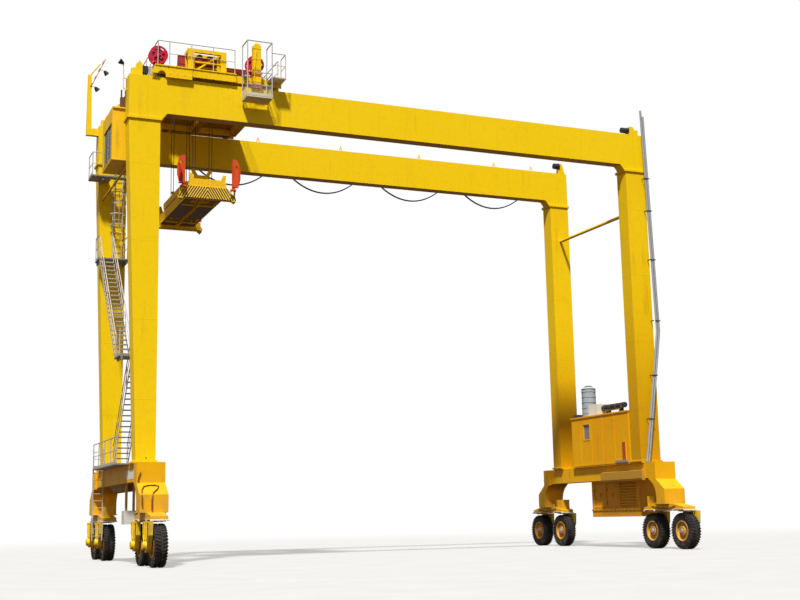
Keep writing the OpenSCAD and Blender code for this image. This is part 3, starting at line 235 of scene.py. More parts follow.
class ShaderTree:
    """A node tree of a material or of the world, with the one method that adds its nodes."""

    def __init__(self, owner):
        owner.use_nodes = True
        self.tree = owner.node_tree
        self.tree.nodes.clear()

    def add(self, kind, settings=None, inputs=None, output=0):
        """A new node with its settings and inputs; gives one of its outputs."""
        node = self.tree.nodes.new(kind)
        for key, value in (settings or {}).items():
            setattr(node, key, value)
        for key, value in (inputs or {}).items():
            self.feed(node.inputs[key], value)
        return Signal(self, node.outputs[output])

    def feed(self, socket, value):
        """Links a signal to a socket, or sets the socket to a plain value."""
        if isinstance(value, Signal):
            self.tree.links.new(value.socket, socket)
        elif hasattr(value, "__len__") and len(value) == 3 and socket.type == "RGBA":
            socket.default_value = (*value, 1.0)
        else:
            socket.default_value = value


class Finish(ShaderTree):
    """One material and the nodes that make its look."""

    def __init__(self, name, roughness=0.5, metallic=0.0, specular=0.4):
        self.material = bpy.data.materials.new(name)
        super().__init__(self.material)
        self.output = self.tree.nodes.new("ShaderNodeOutputMaterial")
        self.shader = self.tree.nodes.new("ShaderNodeBsdfPrincipled")
        self.tree.links.new(self.shader.outputs[0], self.output.inputs[0])
        self.set("Roughness", roughness)
        self.set("Metallic", metallic)
        self.set("Specular IOR Level", specular)
        self._place = None

    def set(self, name, value):
        """Feeds one input of the main shader."""
        self.feed(self.shader.inputs[name], value)

    def place(self):
        """Position on the crane at rest, in metres."""
        if self._place is None:
            self._place = self.add("ShaderNodeTexCoord", output="Object")
        return self._place

    def mapped(self, scale=(1.0, 1.0, 1.0), shift=(0.0, 0.0, 0.0)):
        """The position, moved and scaled."""
        return self.add("ShaderNodeMapping", {},
                        {"Vector": self.place(), "Location": shift, "Scale": scale})

    def axis(self, letter):
        """One coordinate of the position."""
        return self.add("ShaderNodeSeparateXYZ", {}, {0: self.place()}, output=letter)

    def noise(self, scale, detail=3.0, roughness=0.55, stretch=(1.0, 1.0, 1.0),
              shift=(0.0, 0.0, 0.0)):
        """Fractal noise from 0 to 1."""
        return self.add("ShaderNodeTexNoise", {},
                        {"Vector": self.mapped(stretch, shift), "Scale": scale, "Detail": detail,
                         "Roughness": roughness})

    def cells(self, scale):
        """Distance to the nearest cell point."""
        return self.add("ShaderNodeTexVoronoi", {"feature": "F1"},
                        {"Vector": self.place(), "Scale": scale})

    def fraction(self, value):
        """The part of a value after its whole number, which repeats a band."""
        return value - self.add("ShaderNodeMath", {"operation": "FLOOR"}, {0: value})

    def inside(self, low, high):
        """1 inside a box given in drawing coordinates; None leaves a side open."""
        mask = 1.0
        for letter, a, b, shift in zip("XYZ", low, high, DRAWING_ORIGIN):
            if a is not None:
                mask = (self.axis(letter) > a + shift) * mask
            if b is not None:
                mask = (self.axis(letter) < b + shift) * mask
        return mask

    def facing(self, letter):
        """One part of the surface's own direction."""
        geometry = self.add("ShaderNodeNewGeometry", output="Normal")
        return self.add("ShaderNodeSeparateXYZ", {}, {0: geometry}, output=letter)

    def tint(self, amount, low, high):
        """A colour between low and high."""
        return self.add("ShaderNodeMix", {"data_type": "RGBA", "blend_type": "MIX"},
                        {0: amount, 6: low, 7: high}, output=2)

    def bump(self, height, depth, strength=1.0):
        """Feeds the main shader's normal from a height."""
        normal = self.add("ShaderNodeBump", {},
                          {"Strength": strength, "Distance": depth, "Height": height})
        self.set("Normal", normal)


FINISHES = {}


def paint_colours():
    """The colours as plain tuples."""
    group = bpy.context.scene.crane_paint
    return {name: tuple(getattr(group, name)) for name in group.__annotations__}


def weathered_paint(name, colour, faded, grime_and_shade, rust, grime_share, wear, seams=None, dust=0.0,
                    roughness=0.42, zones=(), under=0.5, foot=None):
    """Sprayed paint on welded plate: bleached patches, run-off, rust specks, weld seams, and
    painted shade on faces that look down.
    """
    finish = Finish(name, specular=0.16)
    broad = finish.noise(0.22, 2.0, 0.5)
    tone = finish.tint(broad.between(0.35, 0.7), colour, faded)
    if foot:
        tone = finish.tint(finish.axis("Z").between(4.5, 12.5, 0.8, 0.0), tone, foot)
    for low, high, own in zones:
        tone = finish.tint(finish.inside(low, high), tone, own)
    # Painted shade: faces that look down are tinted towards the grime colour by the underside
    # share.
    tone = finish.tint(finish.facing("Z").between(-0.9, -0.4, under, 0.0), tone, grime_and_shade)
    mottled = finish.noise(5.0, 5.0, 0.6)
    tone = finish.tint(mottled.between(0.45, 0.8, 0.0, 0.10), tone, grime_and_shade)
    runs = finish.noise(3.4, 5.0, 0.62, stretch=(1.0, 1.0, 0.07))
    patches = finish.noise(0.9, 3.0, 0.5, shift=(3.0, 7.0, 1.0))
    dirt = (runs.between(0.50, 0.74) * patches.between(0.42, 0.66)).clamped()
    tone = finish.tint(dirt * grime_share, tone, grime_and_shade)
    if seams:
        letter, pitch = seams
        seam = finish.axis(letter).there_and_back(pitch / 2).between(0.0, 0.022, 1.0, 0.0)
        tone = finish.tint(seam * 0.12, tone, grime_and_shade)
    if dust:
        low = finish.axis("Z").between(0.6, 4.2, dust, 0.0)
        tone = finish.tint((low * finish.noise(2.2, 4.0).between(0.3, 0.7)).clamped(), tone,
                           (0.32, 0.24, 0.15))
    specks = finish.noise(26.0, 3.0, 0.7, stretch=(1.0, 1.0, 0.6))
    rusting = (specks.between(0.66, 0.74) * patches.between(0.5, 0.62)).clamped()
    tone = finish.tint(rusting * wear, tone, rust)
    finish.set("Base Color", tone)
    finish.set("Roughness", (roughness + mottled * 0.16 + dirt * 0.2 + rusting * 0.3).clamped())
    finish.set("Coat Weight", (0.08 - dirt * 0.08).clamped())
    finish.set("Coat Roughness", 0.25)
    grain = finish.noise(90.0, 2.0)
    plates = finish.noise(1.1, 1.0)
    height = grain * 0.012 + plates * 0.5 + rusting * 0.08
    if seams:
        height = height + seam * 0.35
    finish.bump(height, 0.012, 0.55)
    return finish.material


def galvanised_steel(name, colour, rust, darkness=0.0):
    """Zinc coated steel with a faint spangle and brown joints."""
    finish = Finish(name, metallic=0.35, specular=0.4)
    spangle = finish.cells(38.0)
    tone = finish.tint(spangle.between(0.1, 0.7), tuple(c * 0.88 for c in colour), colour)
    stains = finish.noise(2.6, 5.0, 0.65, stretch=(1.0, 1.0, 0.35))
    tone = finish.tint(stains.between(0.52, 0.78, 0.0, 0.55), tone, rust)
    if darkness:
        tone = finish.tint(darkness, tone, (0.02, 0.02, 0.02))
    finish.set("Base Color", tone)
    finish.set("Roughness", (0.46 + spangle * 0.22 + stains * 0.12).clamped())
    finish.bump(spangle * 0.4 + stains, 0.002, 0.4)
    return finish.material


def bare_metal(name, colour, metallic, roughness, soil_share=0.4):
    """Machined or cast metal with oil and dust."""
    soil = (0.05, 0.035, 0.02)
    finish = Finish(name, metallic=metallic, specular=0.5)
    cast = finish.noise(14.0, 4.0, 0.6)
    oil = finish.noise(1.9, 4.0, 0.6)
    tone = finish.tint(cast.between(0.3, 0.75), colour, tuple(c * 0.72 for c in colour))
    tone = finish.tint(oil.between(0.5, 0.72, 0.0, soil_share), tone, soil)
    finish.set("Base Color", tone)
    finish.set("Roughness", (roughness + cast * 0.2).clamped())
    finish.bump(cast + finish.noise(70.0, 2.0) * 0.3, 0.002, 0.5)
    return finish.material


def tyre_rubber(name, colour):
    """Black rubber with pale road dust and fine scuffs."""
    finish = Finish(name, specular=0.25)
    dusty = finish.noise(3.1, 5.0, 0.62)
    low = finish.axis("Z").between(0.0, 1.5, 0.55, 0.15)
    amount = (dusty.between(0.38, 0.72) * low).clamped()
    tone = finish.tint(amount, colour, (0.17, 0.145, 0.115))
    scuffs = finish.noise(30.0, 4.0, 0.7)
    finish.set("Base Color", tone)
    finish.set("Roughness", (0.72 + amount * 0.25 + scuffs * 0.06).clamped())
    finish.bump(scuffs * 0.6 + finish.noise(140.0, 2.0) * 0.3, 0.0025, 0.6)
    return finish.material


def twisted_rope(name, colour):
    """Greased wire rope; the strands turn round it."""
    finish = Finish(name, metallic=0.6, specular=0.5)
    strand = finish.add("ShaderNodeTexWave", {"wave_type": "BANDS", "bands_direction": "DIAGONAL"},
                        {"Vector": finish.place(), "Scale": 14.0, "Distortion": 0.0})
    grease = finish.noise(6.0, 3.0)
    finish.set("Base Color", finish.tint(strand * 0.6, colour, tuple(c * 2.2 for c in colour)))
    finish.set("Roughness", (0.32 + grease * 0.3).clamped())
    finish.bump(strand, 0.003, 0.7)
    return finish.material


def jacketed_cable(name, colour):
    """Ribbed rubber jacket of the trailing cables."""
    finish = Finish(name, specular=0.35)
    worn = finish.noise(4.0, 4.0)
    finish.set("Base Color", finish.tint(worn.between(0.4, 0.8, 0.0, 0.5), colour,
                                         tuple(c * 1.8 + 0.02 for c in colour)))
    finish.set("Roughness", (0.48 + worn * 0.2).clamped())
    finish.bump(finish.noise(60.0, 2.0), 0.0015, 0.4)
    return finish.material


def window_glass(name, colour):
    """Safety glass with a little dust, in the given colour, which for the cab glass is a painted
    reflection of the sky.
    """
    finish = Finish(name, roughness=0.05, specular=0.6)
    dusty = finish.noise(3.0, 4.0)
    finish.set("Base Color", finish.tint(dusty.between(0.4, 0.8, 0.0, 0.3), colour,
                                         (0.5, 0.5, 0.46)))
    finish.set("Alpha", dusty.between(0.3, 0.8, 0.42, 0.6))
    finish.set("Roughness", dusty.between(0.3, 0.8, 0.04, 0.16))
    return finish.material


def striped_beam(name, paint, colours):
    """The spreader's end beam: slanted dark stripes mirrored about its middle."""
    finish = Finish(name, specular=0.2)
    stripe_pitch, stripe_slope, plate = 0.112, 0.62, 0.035
    side = (finish.axis("X") - (HOIST_X + DRAWING_ORIGIN.x)).size()
    slant = (side + finish.axis("Z") * stripe_slope) / stripe_pitch
    dark = finish.fraction(slant).between(0.47, 0.53)
    top = BEAM_BASE + BEAM_HEIGHT
    height = finish.inside((None, None, top - 0.50), (None, None, top - 0.005))
    ends = (finish.inside((None, None, None), (None, BEAM_Y["near"] + plate, None))
            + finish.inside((None, BEAM_Y["far"] - plate, None), (None, None, None))).clamped()
    mask = dark * height * finish.facing("Y").size().between(0.7, 0.9) * ends
    worn = finish.noise(9.0, 5.0, 0.65)
    tone = finish.tint(height * ends, paint, (0.88, 0.58, 0.07))
    tone = finish.tint(worn.between(0.4, 0.8, 0.0, 0.35), tone, colours["grime_and_shade"])
    # Painted shade: faces that look down are tinted near black.
    tone = finish.tint(finish.facing("Z").between(-0.9, -0.5, 0.9, 0.0), tone, (0.04, 0.02, 0.01))
    tone = finish.tint(mask * worn.between(0.2, 0.45, 0.75, 1.0), tone, (0.045, 0.018, 0.008))
    scrapes = finish.noise(12.0, 4.0, 0.7, stretch=(0.3, 1.0, 1.0))
    tone = finish.tint(scrapes.between(0.66, 0.76, 0.0, 0.6), tone, colours["rust"])
    finish.set("Base Color", tone)
    finish.set("Roughness", (0.45 + worn * 0.25).clamped())
    finish.bump(finish.noise(40.0, 3.0) * 0.4 + scrapes, 0.003, 0.5)
    return finish.material


def banded_arm(name, first, second, pitch):
    """Red and white bands along the lamp arm."""
    finish = Finish(name, specular=0.4)
    up_the_arm = (finish.axis("X") * 0.534 + finish.axis("Z") * 0.845) / pitch
    worn = finish.noise(7.0, 4.0)
    tone = finish.tint(finish.fraction(up_the_arm).between(0.47, 0.53), first, second)
    tone = finish.tint(worn.between(0.5, 0.8, 0.0, 0.35), tone, (0.2, 0.11, 0.05))
    finish.set("Base Color", tone)
    finish.set("Roughness", (0.42 + worn * 0.2).clamped())
    finish.bump(worn, 0.002, 0.4)
    return finish.material


def make_finishes():
    """Makes every material of the crane once."""
    c = paint_colours()
    pale_plate = (0.5, 0.5, 0.47)

    def paint(name, colour, faded=c["faded"], grime_and_shade=c["grime_and_shade"], **looks):
        return weathered_paint(name, colour, faded, grime_and_shade, c["rust"], **looks)

    sill_faded = tuple(v * 1.08 for v in c["orange"])
    FINISHES.update({
        "girder": paint("girder_paint", c["yellow"], seams=("X", 2.95), wear=0.35,
                        grime_share=0.15, under=0.8),
        "mast": paint("mast_paint", c["yellow"], wear=0.35, grime_share=0.3),
        "leg": paint("leg_paint", c["yellow"], seams=("Z", 3.2), wear=0.4, grime_share=0.28,
                     dust=0.12, under=0.7),
        "right_leg": paint("right_leg_paint", (0.84, 0.54, 0.0), (0.86, 0.57, 0.003),
                           seams=("Z", 3.2), foot=(0.54, 0.24, 0.0), wear=0.5, grime_share=0.4,
                           dust=0.2, under=0.7),
        "far_leg": paint("far_right_leg_paint", (0.86, 0.56, 0.0), seams=("Z", 3.2),
                         foot=(0.62, 0.29, 0.0), wear=0.4, grime_share=0.3, dust=0.12,
                         under=0.7),
        "genset": paint("genset_paint", (0.74, 0.31, 0.0), (0.80, 0.37, 0.004), wear=0.6,
                        grime_share=0.6, dust=0.25, under=0.8),
        "sill": paint("sill_paint", c["orange"], sill_faded, seams=("Y", 2.6), wear=0.75,
                      grime_share=0.5, dust=0.4, under=0.75, zones=[
                          # Painted shade: dark brown under the left sill between Y 2.6 and 5.8, and
                          # darker brown-yellow on the recessed shelf of the right sill's inner
                          # face.
                          ((None, 2.6, None), (0.5, 5.8, 3.19), (0.22, 0.11, 0.02)),
                          ((22.4, -0.2, 3.1), (22.63, 3.5, 3.63), (0.50, 0.27, 0.03))]),
        "yoke": paint("yoke_paint", c["yellow"], wear=0.8, grime_share=0.7, dust=0.5, under=0.8),
        "house": paint("house_paint", (0.85, 0.40, 0.0), sill_faded, wear=0.5, grime_share=0.36,
                       dust=0.2, zones=[
                           ((22.3, 0.9, 3.95), (22.495, 2.1, 4.105), (0.30, 0.28, 0.25)),
                           ((22.3, 1.1, 4.1), (22.47, 1.4, 4.96), (0.42, 0.08, 0.02))]),
        "trolley": paint("trolley_paint", (0.86, 0.56, 0.0), wear=0.6, grime_share=0.45,
                         under=0.85, zones=[
                             ((3.8, -0.36, 19.6), (4.2, -0.06, 19.85), (0.33, 0.06, 0.02)),
                             ((3.8, -0.36, 20.16), (4.2, -0.06, 20.30), (0.42, 0.10, 0.02))]),
        # Painted shade: the near-black brown and full underside share paint deep shade on the
        # spreader's underside.
        "spreader": paint("spreader_paint", (0.86, 0.56, 0.0), grime_and_shade=(0.045, 0.018, 0.008),
                          wear=0.7, grime_share=0.6, under=1.0),
        "cab": paint("cab_paint", (0.86, 0.53, 0.01), wear=0.4, grime_share=0.35),
        "basket": paint("basket_paint", (0.46, 0.47, 0.48), (0.52, 0.52, 0.50), wear=0.5,
                        grime_share=0.3,
                        zones=[((3.3, -1.1, 19.0), (4.7, 0.1, 19.5), (0.62, 0.57, 0.42))]),
        "cabinet": paint("cabinet_paint", (0.60, 0.60, 0.56), (0.66, 0.66, 0.6),
                         (0.2, 0.15, 0.09), wear=0.4, grime_share=0.5, dust=0.3,
                         zones=[((None, 2.1, 2.121), (0.0, 2.5, 3.3), (0.55, 0.34, 0.03))]),
        "roof_grey": paint("roof_equipment_paint", (0.36, 0.42, 0.47), (0.45, 0.51, 0.55),
                           (0.12, 0.09, 0.06), wear=0.3, grime_share=0.4, zones=[
                               ((None, None, None), (None, 3.53, None), (0.035, 0.034, 0.036)),
                               ((None, 3.53, None), (None, 4.40, None), (0.66, 0.64, 0.58)),
                               ((None, 5.45, None), (None, None, None), (0.05, 0.05, 0.05))]),
        "red": paint("reel_paint", c["red"], (0.66, 0.02, 0.06), (0.10, 0.01, 0.015), wear=0.3,
                     grime_share=0.3, roughness=0.36),
        "guide": paint("guide_paint", c["guide"], (0.66, 0.10, 0.02), (0.10, 0.02, 0.01),
                       wear=0.9, grime_share=0.5),
        "rim": paint("rim_paint", (0.72, 0.33, 0.01), (0.74, 0.38, 0.04), (0.09, 0.05, 0.02),
                     wear=0.8, grime_share=0.7, dust=0.5),
        "white": paint("white_paint", (0.74, 0.73, 0.68), (0.78, 0.77, 0.73), (0.3, 0.24, 0.15),
                       wear=0.4, grime_share=0.5),
        "machine": paint("machine_primer", (0.33, 0.045, 0.018), (0.30, 0.09, 0.03),
                         (0.06, 0.025, 0.012), wear=0.7, grime_share=0.7, zones=[
                             ((0.0, 2.45, 20.2), (0.85, 5.25, None), pale_plate),
                             ((3.68, 1.15, 20.2), (4.75, 3.65, 20.97), pale_plate),
                             ((0.70, 0.0, 20.2), (1.05, 0.45, None), (0.30, 0.03, 0.025))]),
        "stripes": striped_beam("striped_beam_paint", (0.86, 0.53, 0.01), c),
        "arm": banded_arm("lamp_arm_paint", (0.62, 0.06, 0.03), (0.72, 0.66, 0.5), 0.42),
        "zinc": galvanised_steel("galvanised_steel", c["galvanised"], (0.24, 0.14, 0.07)),
        "grating": galvanised_steel("grating_steel", (0.30, 0.30, 0.29), (0.16, 0.10, 0.06),
                                    0.15),
        "exhaust": galvanised_steel("exhaust_steel", c["exhaust"], (0.20, 0.15, 0.11)),
        "steel": bare_metal("worn_steel", (0.28, 0.28, 0.29), 0.8, 0.34),
        # Dark brown: the roof unit's own colour, and in the yoke pockets painted shade with dirt.
        "soil": bare_metal("soiled_recess", (0.16, 0.07, 0.015), 0.0, 0.7, 0.8),
        "dark_steel": bare_metal("dark_steel", (0.07, 0.068, 0.066), 0.5, 0.5),
        "cap": bare_metal("hub_cap_steel", (0.50, 0.49, 0.46), 0.3, 0.4),
        "seal": bare_metal("window_seal", (0.02, 0.02, 0.02), 0.0, 0.6),
        "tyre": tyre_rubber("tyre_rubber", c["rubber"]),
        "rope": twisted_rope("hoist_rope_steel", (0.05, 0.05, 0.052)),
        "cable": jacketed_cable("festoon_cable_jacket", (0.012, 0.10, 0.28)),
        "hose": jacketed_cable("brown_hose_jacket", (0.17, 0.062, 0.012)),
        "reel_cable": jacketed_cable("reel_cable_jacket", (0.20, 0.012, 0.03)),
        "black_cable": jacketed_cable("black_cable_jacket", (0.014, 0.014, 0.016)),
        # The blue-grey of the cab glass is a painted reflection of the sky.
        "glass": window_glass("cab_glass", (0.22, 0.31, 0.38)),
        "lens": window_glass("lamp_lens", (0.65, 0.66, 0.62)),
    })


FINISH_OF_NODES = {
    "girder": ("near_girder", "far_girder", "leg_ties", "festoon_track"),
    "leg": ("near_left_leg", "far_left_leg"), "right_leg": ("near_right_leg",),
    "far_leg": ("far_right_leg",),
    "sill": ("left_sill", "right_sill", "near_left_bogie", "far_left_bogie", "near_right_bogie",
             "far_right_bogie"),
    "house": ("machine_house",), "genset": ("generator_housing",),
    "roof_grey": ("roof_equipment",), "exhaust": ("exhaust_pipe",),
    "zinc": ("lower_stair", "upper_stair", "guard_rails", "access_ladders", "trolley_rails"),
    "grating": ("platforms",), "cabinet": ("control_cabinet",), "mast": ("lamp_mast",),
    "cable": ("festoon_cable",), "trolley": ("trolley_frame", "headblock"),
    "machine": ("hoist_machinery", "hoist_drum"), "steel": ("trolley_wheels",),
    "basket": ("service_basket",), "red": ("cable_reels",), "cab": ("cab_shell",),
    "glass": ("cab_glazing",), "rope": ("hoist_ropes",), "spreader": ("spreader_frame",),
    "stripes": ("near_spreader_end", "far_spreader_end"),
    "guide": ("near_left_guide", "near_right_guide", "far_left_guide", "far_right_guide"),
    "yoke": tuple(f"yoke_{number}" for number in range(1, 9)),
    "tyre": tuple(f"wheel_{number}" for number in range(1, 9)),
}


# Meshes

def round_point(centre, axis, along_axis, radius, angle):
    """A point round an axis through a centre."""
    k = AXES[axis]
    point = list(centre)
    point[k] += along_axis
    point[(k + 1) % 3] += radius * math.cos(angle)
    point[(k + 2) % 3] += radius * math.sin(angle)
    return tuple(point)


class Shape:
    """A mesh in drawing coordinates that grows by plain forms."""

    def __init__(self):
        self.mesh = bmesh.new()

    def _quads(self, rings, capped=False):
        made = [[self.mesh.verts.new(dr(*point)) for point in ring] for ring in rings]
        count = len(made[0])
        for low, high in zip(made, made[1:]):
            for i in range(count):
                j = (i + 1) % count
                self.mesh.faces.new((low[i], low[j], high[j], high[i]))
        if capped:
            self.mesh.faces.new(list(reversed(made[0])))
            self.mesh.faces.new(made[-1])
        return self

    def box(self, low, high, chamfer=0.0):
        """A box between two corners, with chamfered edges where asked."""
        x0, y0, z0 = low
        x1, y1, z1 = high
        c = min(chamfer, (x1 - x0) / 3, (y1 - y0) / 3, (z1 - z0) / 3)
        if c <= 0:
            ring = [(x0, y0), (x1, y0), (x1, y1), (x0, y1)]
            return self._quads([[(x, y, z) for x, y in ring] for z in (z0, z1)], True)

        def outline(inset):
            a, b, d, e = x0 + inset, x1 - inset, y0 + inset, y1 - inset
            return [(a + c, d), (b - c, d), (b, d + c), (b, e - c), (b - c, e), (a + c, e),
                    (a, e - c), (a, d + c)]
        return self._quads([[(x, y, z) for x, y in outline(inset)] for z, inset in
                            ((z0, c), (z0 + c, 0), (z1 - c, 0), (z1, c))], True)

    def lathe(self, centre, axis, profile, steps=32):
        """Turns an open profile of (distance along the axis, radius) about an axis."""
        angles = [2 * math.pi * i / steps for i in range(steps)]
        return self._quads([[round_point(centre, axis, *at, a) for a in angles]
                            for at in profile], True)

    def turned_ring(self, centre, axis, profile, steps=48):
        """Turns a closed profile of (distance along the axis, radius) about an axis."""
        angles = [2 * math.pi * i / steps for i in range(steps)]
        rings = [[round_point(centre, axis, *at, a) for at in profile] for a in angles]
        return self._quads(rings + [rings[0]])

    def tube(self, points, radius, steps=10):
        """A tube through points."""
        points = [Vector(p) for p in points]
        side = None
        rings = []
        for i, point in enumerate(points):
            ahead = points[min(i + 1, len(points) - 1)] - points[max(i - 1, 0)]
            ahead.normalize()
            if side is None:
                side = ahead.orthogonal().normalized()
            side = (side - ahead * side.dot(ahead)).normalized()
            other = ahead.cross(side)
            rings.append([tuple(point + side * (radius * math.cos(a))
                                + other * (radius * math.sin(a)))
                          for a in (2 * math.pi * k / steps for k in range(steps))])
        return self._quads(rings, True)

    def plate(self, outline, axis, low, high):
        """An outline of two coordinates, extruded along an axis."""
        k = AXES[axis]
        return self._quads([[(*point[:k], level, *point[k:]) for point in outline]
                            for level in (low, high)], True)

    def lean(self, centre, axis, degrees, since=0):
        """Turns the vertices made after the first ones about a point."""
        self.mesh.verts.ensure_lookup_table()
        bmesh.ops.rotate(self.mesh, cent=dr(*centre), verts=self.mesh.verts[since:],
                         matrix=Matrix.Rotation(math.radians(degrees), 3, axis))
        return self

    def piece(self, name, finish, body, smooth=None, bevel=0.0):
        """Turns the mesh into an object that rides on a body."""
        bmesh.ops.remove_doubles(self.mesh, verts=self.mesh.verts, dist=1e-6)
        bmesh.ops.recalc_face_normals(self.mesh, faces=self.mesh.faces)
        data = bpy.data.meshes.new(name)
        self.mesh.to_mesh(data)
        self.mesh.free()
        return settle(name, data, finish, body, smooth, bevel)


def settle(name, data, finish, body, smooth=None, bevel=0.0):
    """Links a mesh as a finished piece: material, shading and body."""
    data.materials.clear()
    data.materials.append(FINISHES[finish])
    made = bpy.data.objects.new(name, data)
    bpy.context.scene.collection.objects.link(made)
    if smooth:
        data.polygons.foreach_set("use_smooth", [True] * len(data.polygons))
        data.set_sharp_from_angle(angle=math.radians(smooth))
    if bevel:
        rounding = made.modifiers.new("soft_edges", "BEVEL")
        rounding.width = bevel
        rounding.segments = 1
        rounding.limit_method = "ANGLE"
    slot_for(body)
    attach(made, body)
    return made


def boxes(name, finish, body, pairs, bevel=0.0, chamfer=0.0):
    """Plain boxes between pairs of corners, as one piece."""
    shape = Shape()
    for low, high in pairs:
        shape.box(low, high, chamfer)
    return shape.piece(name, finish, body, None, bevel)


def slot_for(body):
    """The record's slot of a body's first node."""
    return next(node for node, owner in BODY_OF.items() if owner == body)


# Geometry Nodes

class Recipe:
    """A Geometry Nodes tree that is built once and used for many pieces."""

    def __init__(self, name, inputs):
        self.tree = bpy.data.node_groups.new(name, "GeometryNodeTree")
        self.keys = {}
        for label, kind, default in inputs:
            socket = self.tree.interface.new_socket(label, in_out="INPUT", socket_type=kind)
            if default is not None:
                socket.default_value = default
            self.keys[label] = socket.identifier
        self.tree.interface.new_socket("Result", in_out="OUTPUT",
                                       socket_type="NodeSocketGeometry")
        self.start = self.tree.nodes.new("NodeGroupInput")
        self.end = self.tree.nodes.new("NodeGroupOutput")

    def add(self, kind, settings=None, inputs=None, output=0):
        """A new node; gives one of its outputs."""
        node = self.tree.nodes.new(kind)
        for key, value in (settings or {}).items():
            setattr(node, key, value)
        for key, value in (inputs or {}).items():
            if isinstance(value, bpy.types.NodeSocket):
                self.tree.links.new(value, node.inputs[key])
            else:
                node.inputs[key].default_value = value
        return node.outputs[output]

    def math(self, operation, *values):
        """A Math node on one to three values."""
        return self.add("ShaderNodeMath", {"operation": operation}, dict(enumerate(values)))

    def given(self, label):
        """One of the tree's inputs."""
        return self.start.outputs[label]

    def put(self, geometry):
        """Turns and moves the geometry by the inputs Turn and Centre."""
        return self.add("GeometryNodeTransform", {}, {
            "Geometry": geometry, "Rotation": self.given("Turn"),
            "Translation": self.given("Centre")})

    def join(self, *parts):
        """Joins several geometries."""
        node = self.tree.nodes.new("GeometryNodeJoinGeometry")
        for part in parts:
            self.tree.links.new(part, node.inputs[0])
        return node.outputs[0]

    def finish(self, geometry):
        """Realizes the result, gives it its material and ends the tree."""
        real = self.add("GeometryNodeRealizeInstances", {}, {0: geometry})
        dressed = self.add("GeometryNodeSetMaterial", {},
                           {"Geometry": real, "Material": self.given("Material")})
        self.tree.links.new(dressed, self.end.inputs[0])

    def make(self, name, finish, body, values, source=None, smooth=None):
        """Runs the tree on a mesh and keeps the result as a plain piece."""
        data = source or bpy.data.meshes.new(name + "_seed")
        holder = bpy.data.objects.new(name + "_seed", data)
        bpy.context.scene.collection.objects.link(holder)
        modifier = holder.modifiers.new("recipe", "NODES")
        modifier.node_group = self.tree
        modifier[self.keys["Material"]] = FINISHES[finish]
        for label, value in values.items():
            modifier[self.keys[label]] = value
        holder.update_tag()
        graph = bpy.context.evaluated_depsgraph_get()
        result = bpy.data.meshes.new_from_object(holder.evaluated_get(graph),
                                                 preserve_all_data_layers=False, depsgraph=graph)
        holder.modifiers.clear()
        bpy.data.objects.remove(holder)
        result.name = name
        return settle(name, result, finish, body, smooth)


RECIPES = {}


def seeds(places, turns):
    """A mesh of loose points with the turn of each as an attribute."""
    data = bpy.data.meshes.new("fitting_places")
    data.from_pydata([tuple(dr(*p)) for p in places], [], [])
    attribute = data.attributes.new("turn", "FLOAT_VECTOR", "POINT")
    attribute.data.foreach_set("vector", [v for turn in turns for v in turn])
    return data


UP = (0.0, 0.0, 0.0)
DOWN = (math.pi, 0.0, 0.0)
TO_NEAR = (math.pi / 2, 0.0, 0.0)
TO_FAR = (-math.pi / 2, 0.0, 0.0)
TO_RIGHT = (0.0, math.pi / 2, 0.0)
TO_LEFT = (0.0, -math.pi / 2, 0.0)


def bolt_recipe():
    """Hex bolts with washers, standing on loose points."""
    bolts = Recipe("hex_bolts", [
        ("Places", "NodeSocketGeometry", None), ("Width", "NodeSocketFloat", 0.046),
        ("Height", "NodeSocketFloat", 0.03), ("Material", "NodeSocketMaterial", None)])
    width, height = bolts.given("Width"), bolts.given("Height")
    head = bolts.add("GeometryNodeMeshCylinder", {}, {
        "Vertices": 6, "Radius": bolts.math("MULTIPLY", width, 0.577), "Depth": height})
    disc = bolts.add("GeometryNodeMeshCylinder", {}, {
        "Vertices": 10, "Radius": bolts.math("MULTIPLY", width, 0.85),
        "Depth": bolts.math("MULTIPLY", height, 0.3)})
    lift = bolts.math("MULTIPLY", height, 0.6)
    raised = bolts.add("GeometryNodeTransform", {}, {
        "Geometry": head,
        "Translation": bolts.add("ShaderNodeCombineXYZ", {}, {"Z": lift})})
    turn = bolts.add("GeometryNodeInputNamedAttribute", {"data_type": "FLOAT_VECTOR"},
                     {"Name": "turn"})
    bolts.finish(bolts.add("GeometryNodeInstanceOnPoints", {}, {
        "Points": bolts.given("Places"), "Instance": bolts.join(raised, disc),
        "Rotation": bolts.add("FunctionNodeEulerToRotation", {}, {0: turn})}))
    return bolts


def bar_recipe():
    """Equal bars in a straight row."""
    bars = Recipe("bar_row", [
        ("Count", "NodeSocketInt", 10), ("Start", "NodeSocketVector", None),
        ("Step", "NodeSocketVector", None), ("Size", "NodeSocketVector", None),
        ("Turn", "NodeSocketVector", None), ("Material", "NodeSocketMaterial", None)])
    line = bars.add("GeometryNodeMeshLine", {"mode": "OFFSET"}, {
        "Count": bars.given("Count"), "Start Location": bars.given("Start"),
        "Offset": bars.given("Step")})
    block = bars.add("GeometryNodeMeshCube", {}, {"Size": bars.given("Size")})
    bars.finish(bars.add("GeometryNodeInstanceOnPoints", {}, {
        "Points": line, "Instance": block,
        "Rotation": bars.add("FunctionNodeEulerToRotation", {}, {0: bars.given("Turn")})}))
    return bars


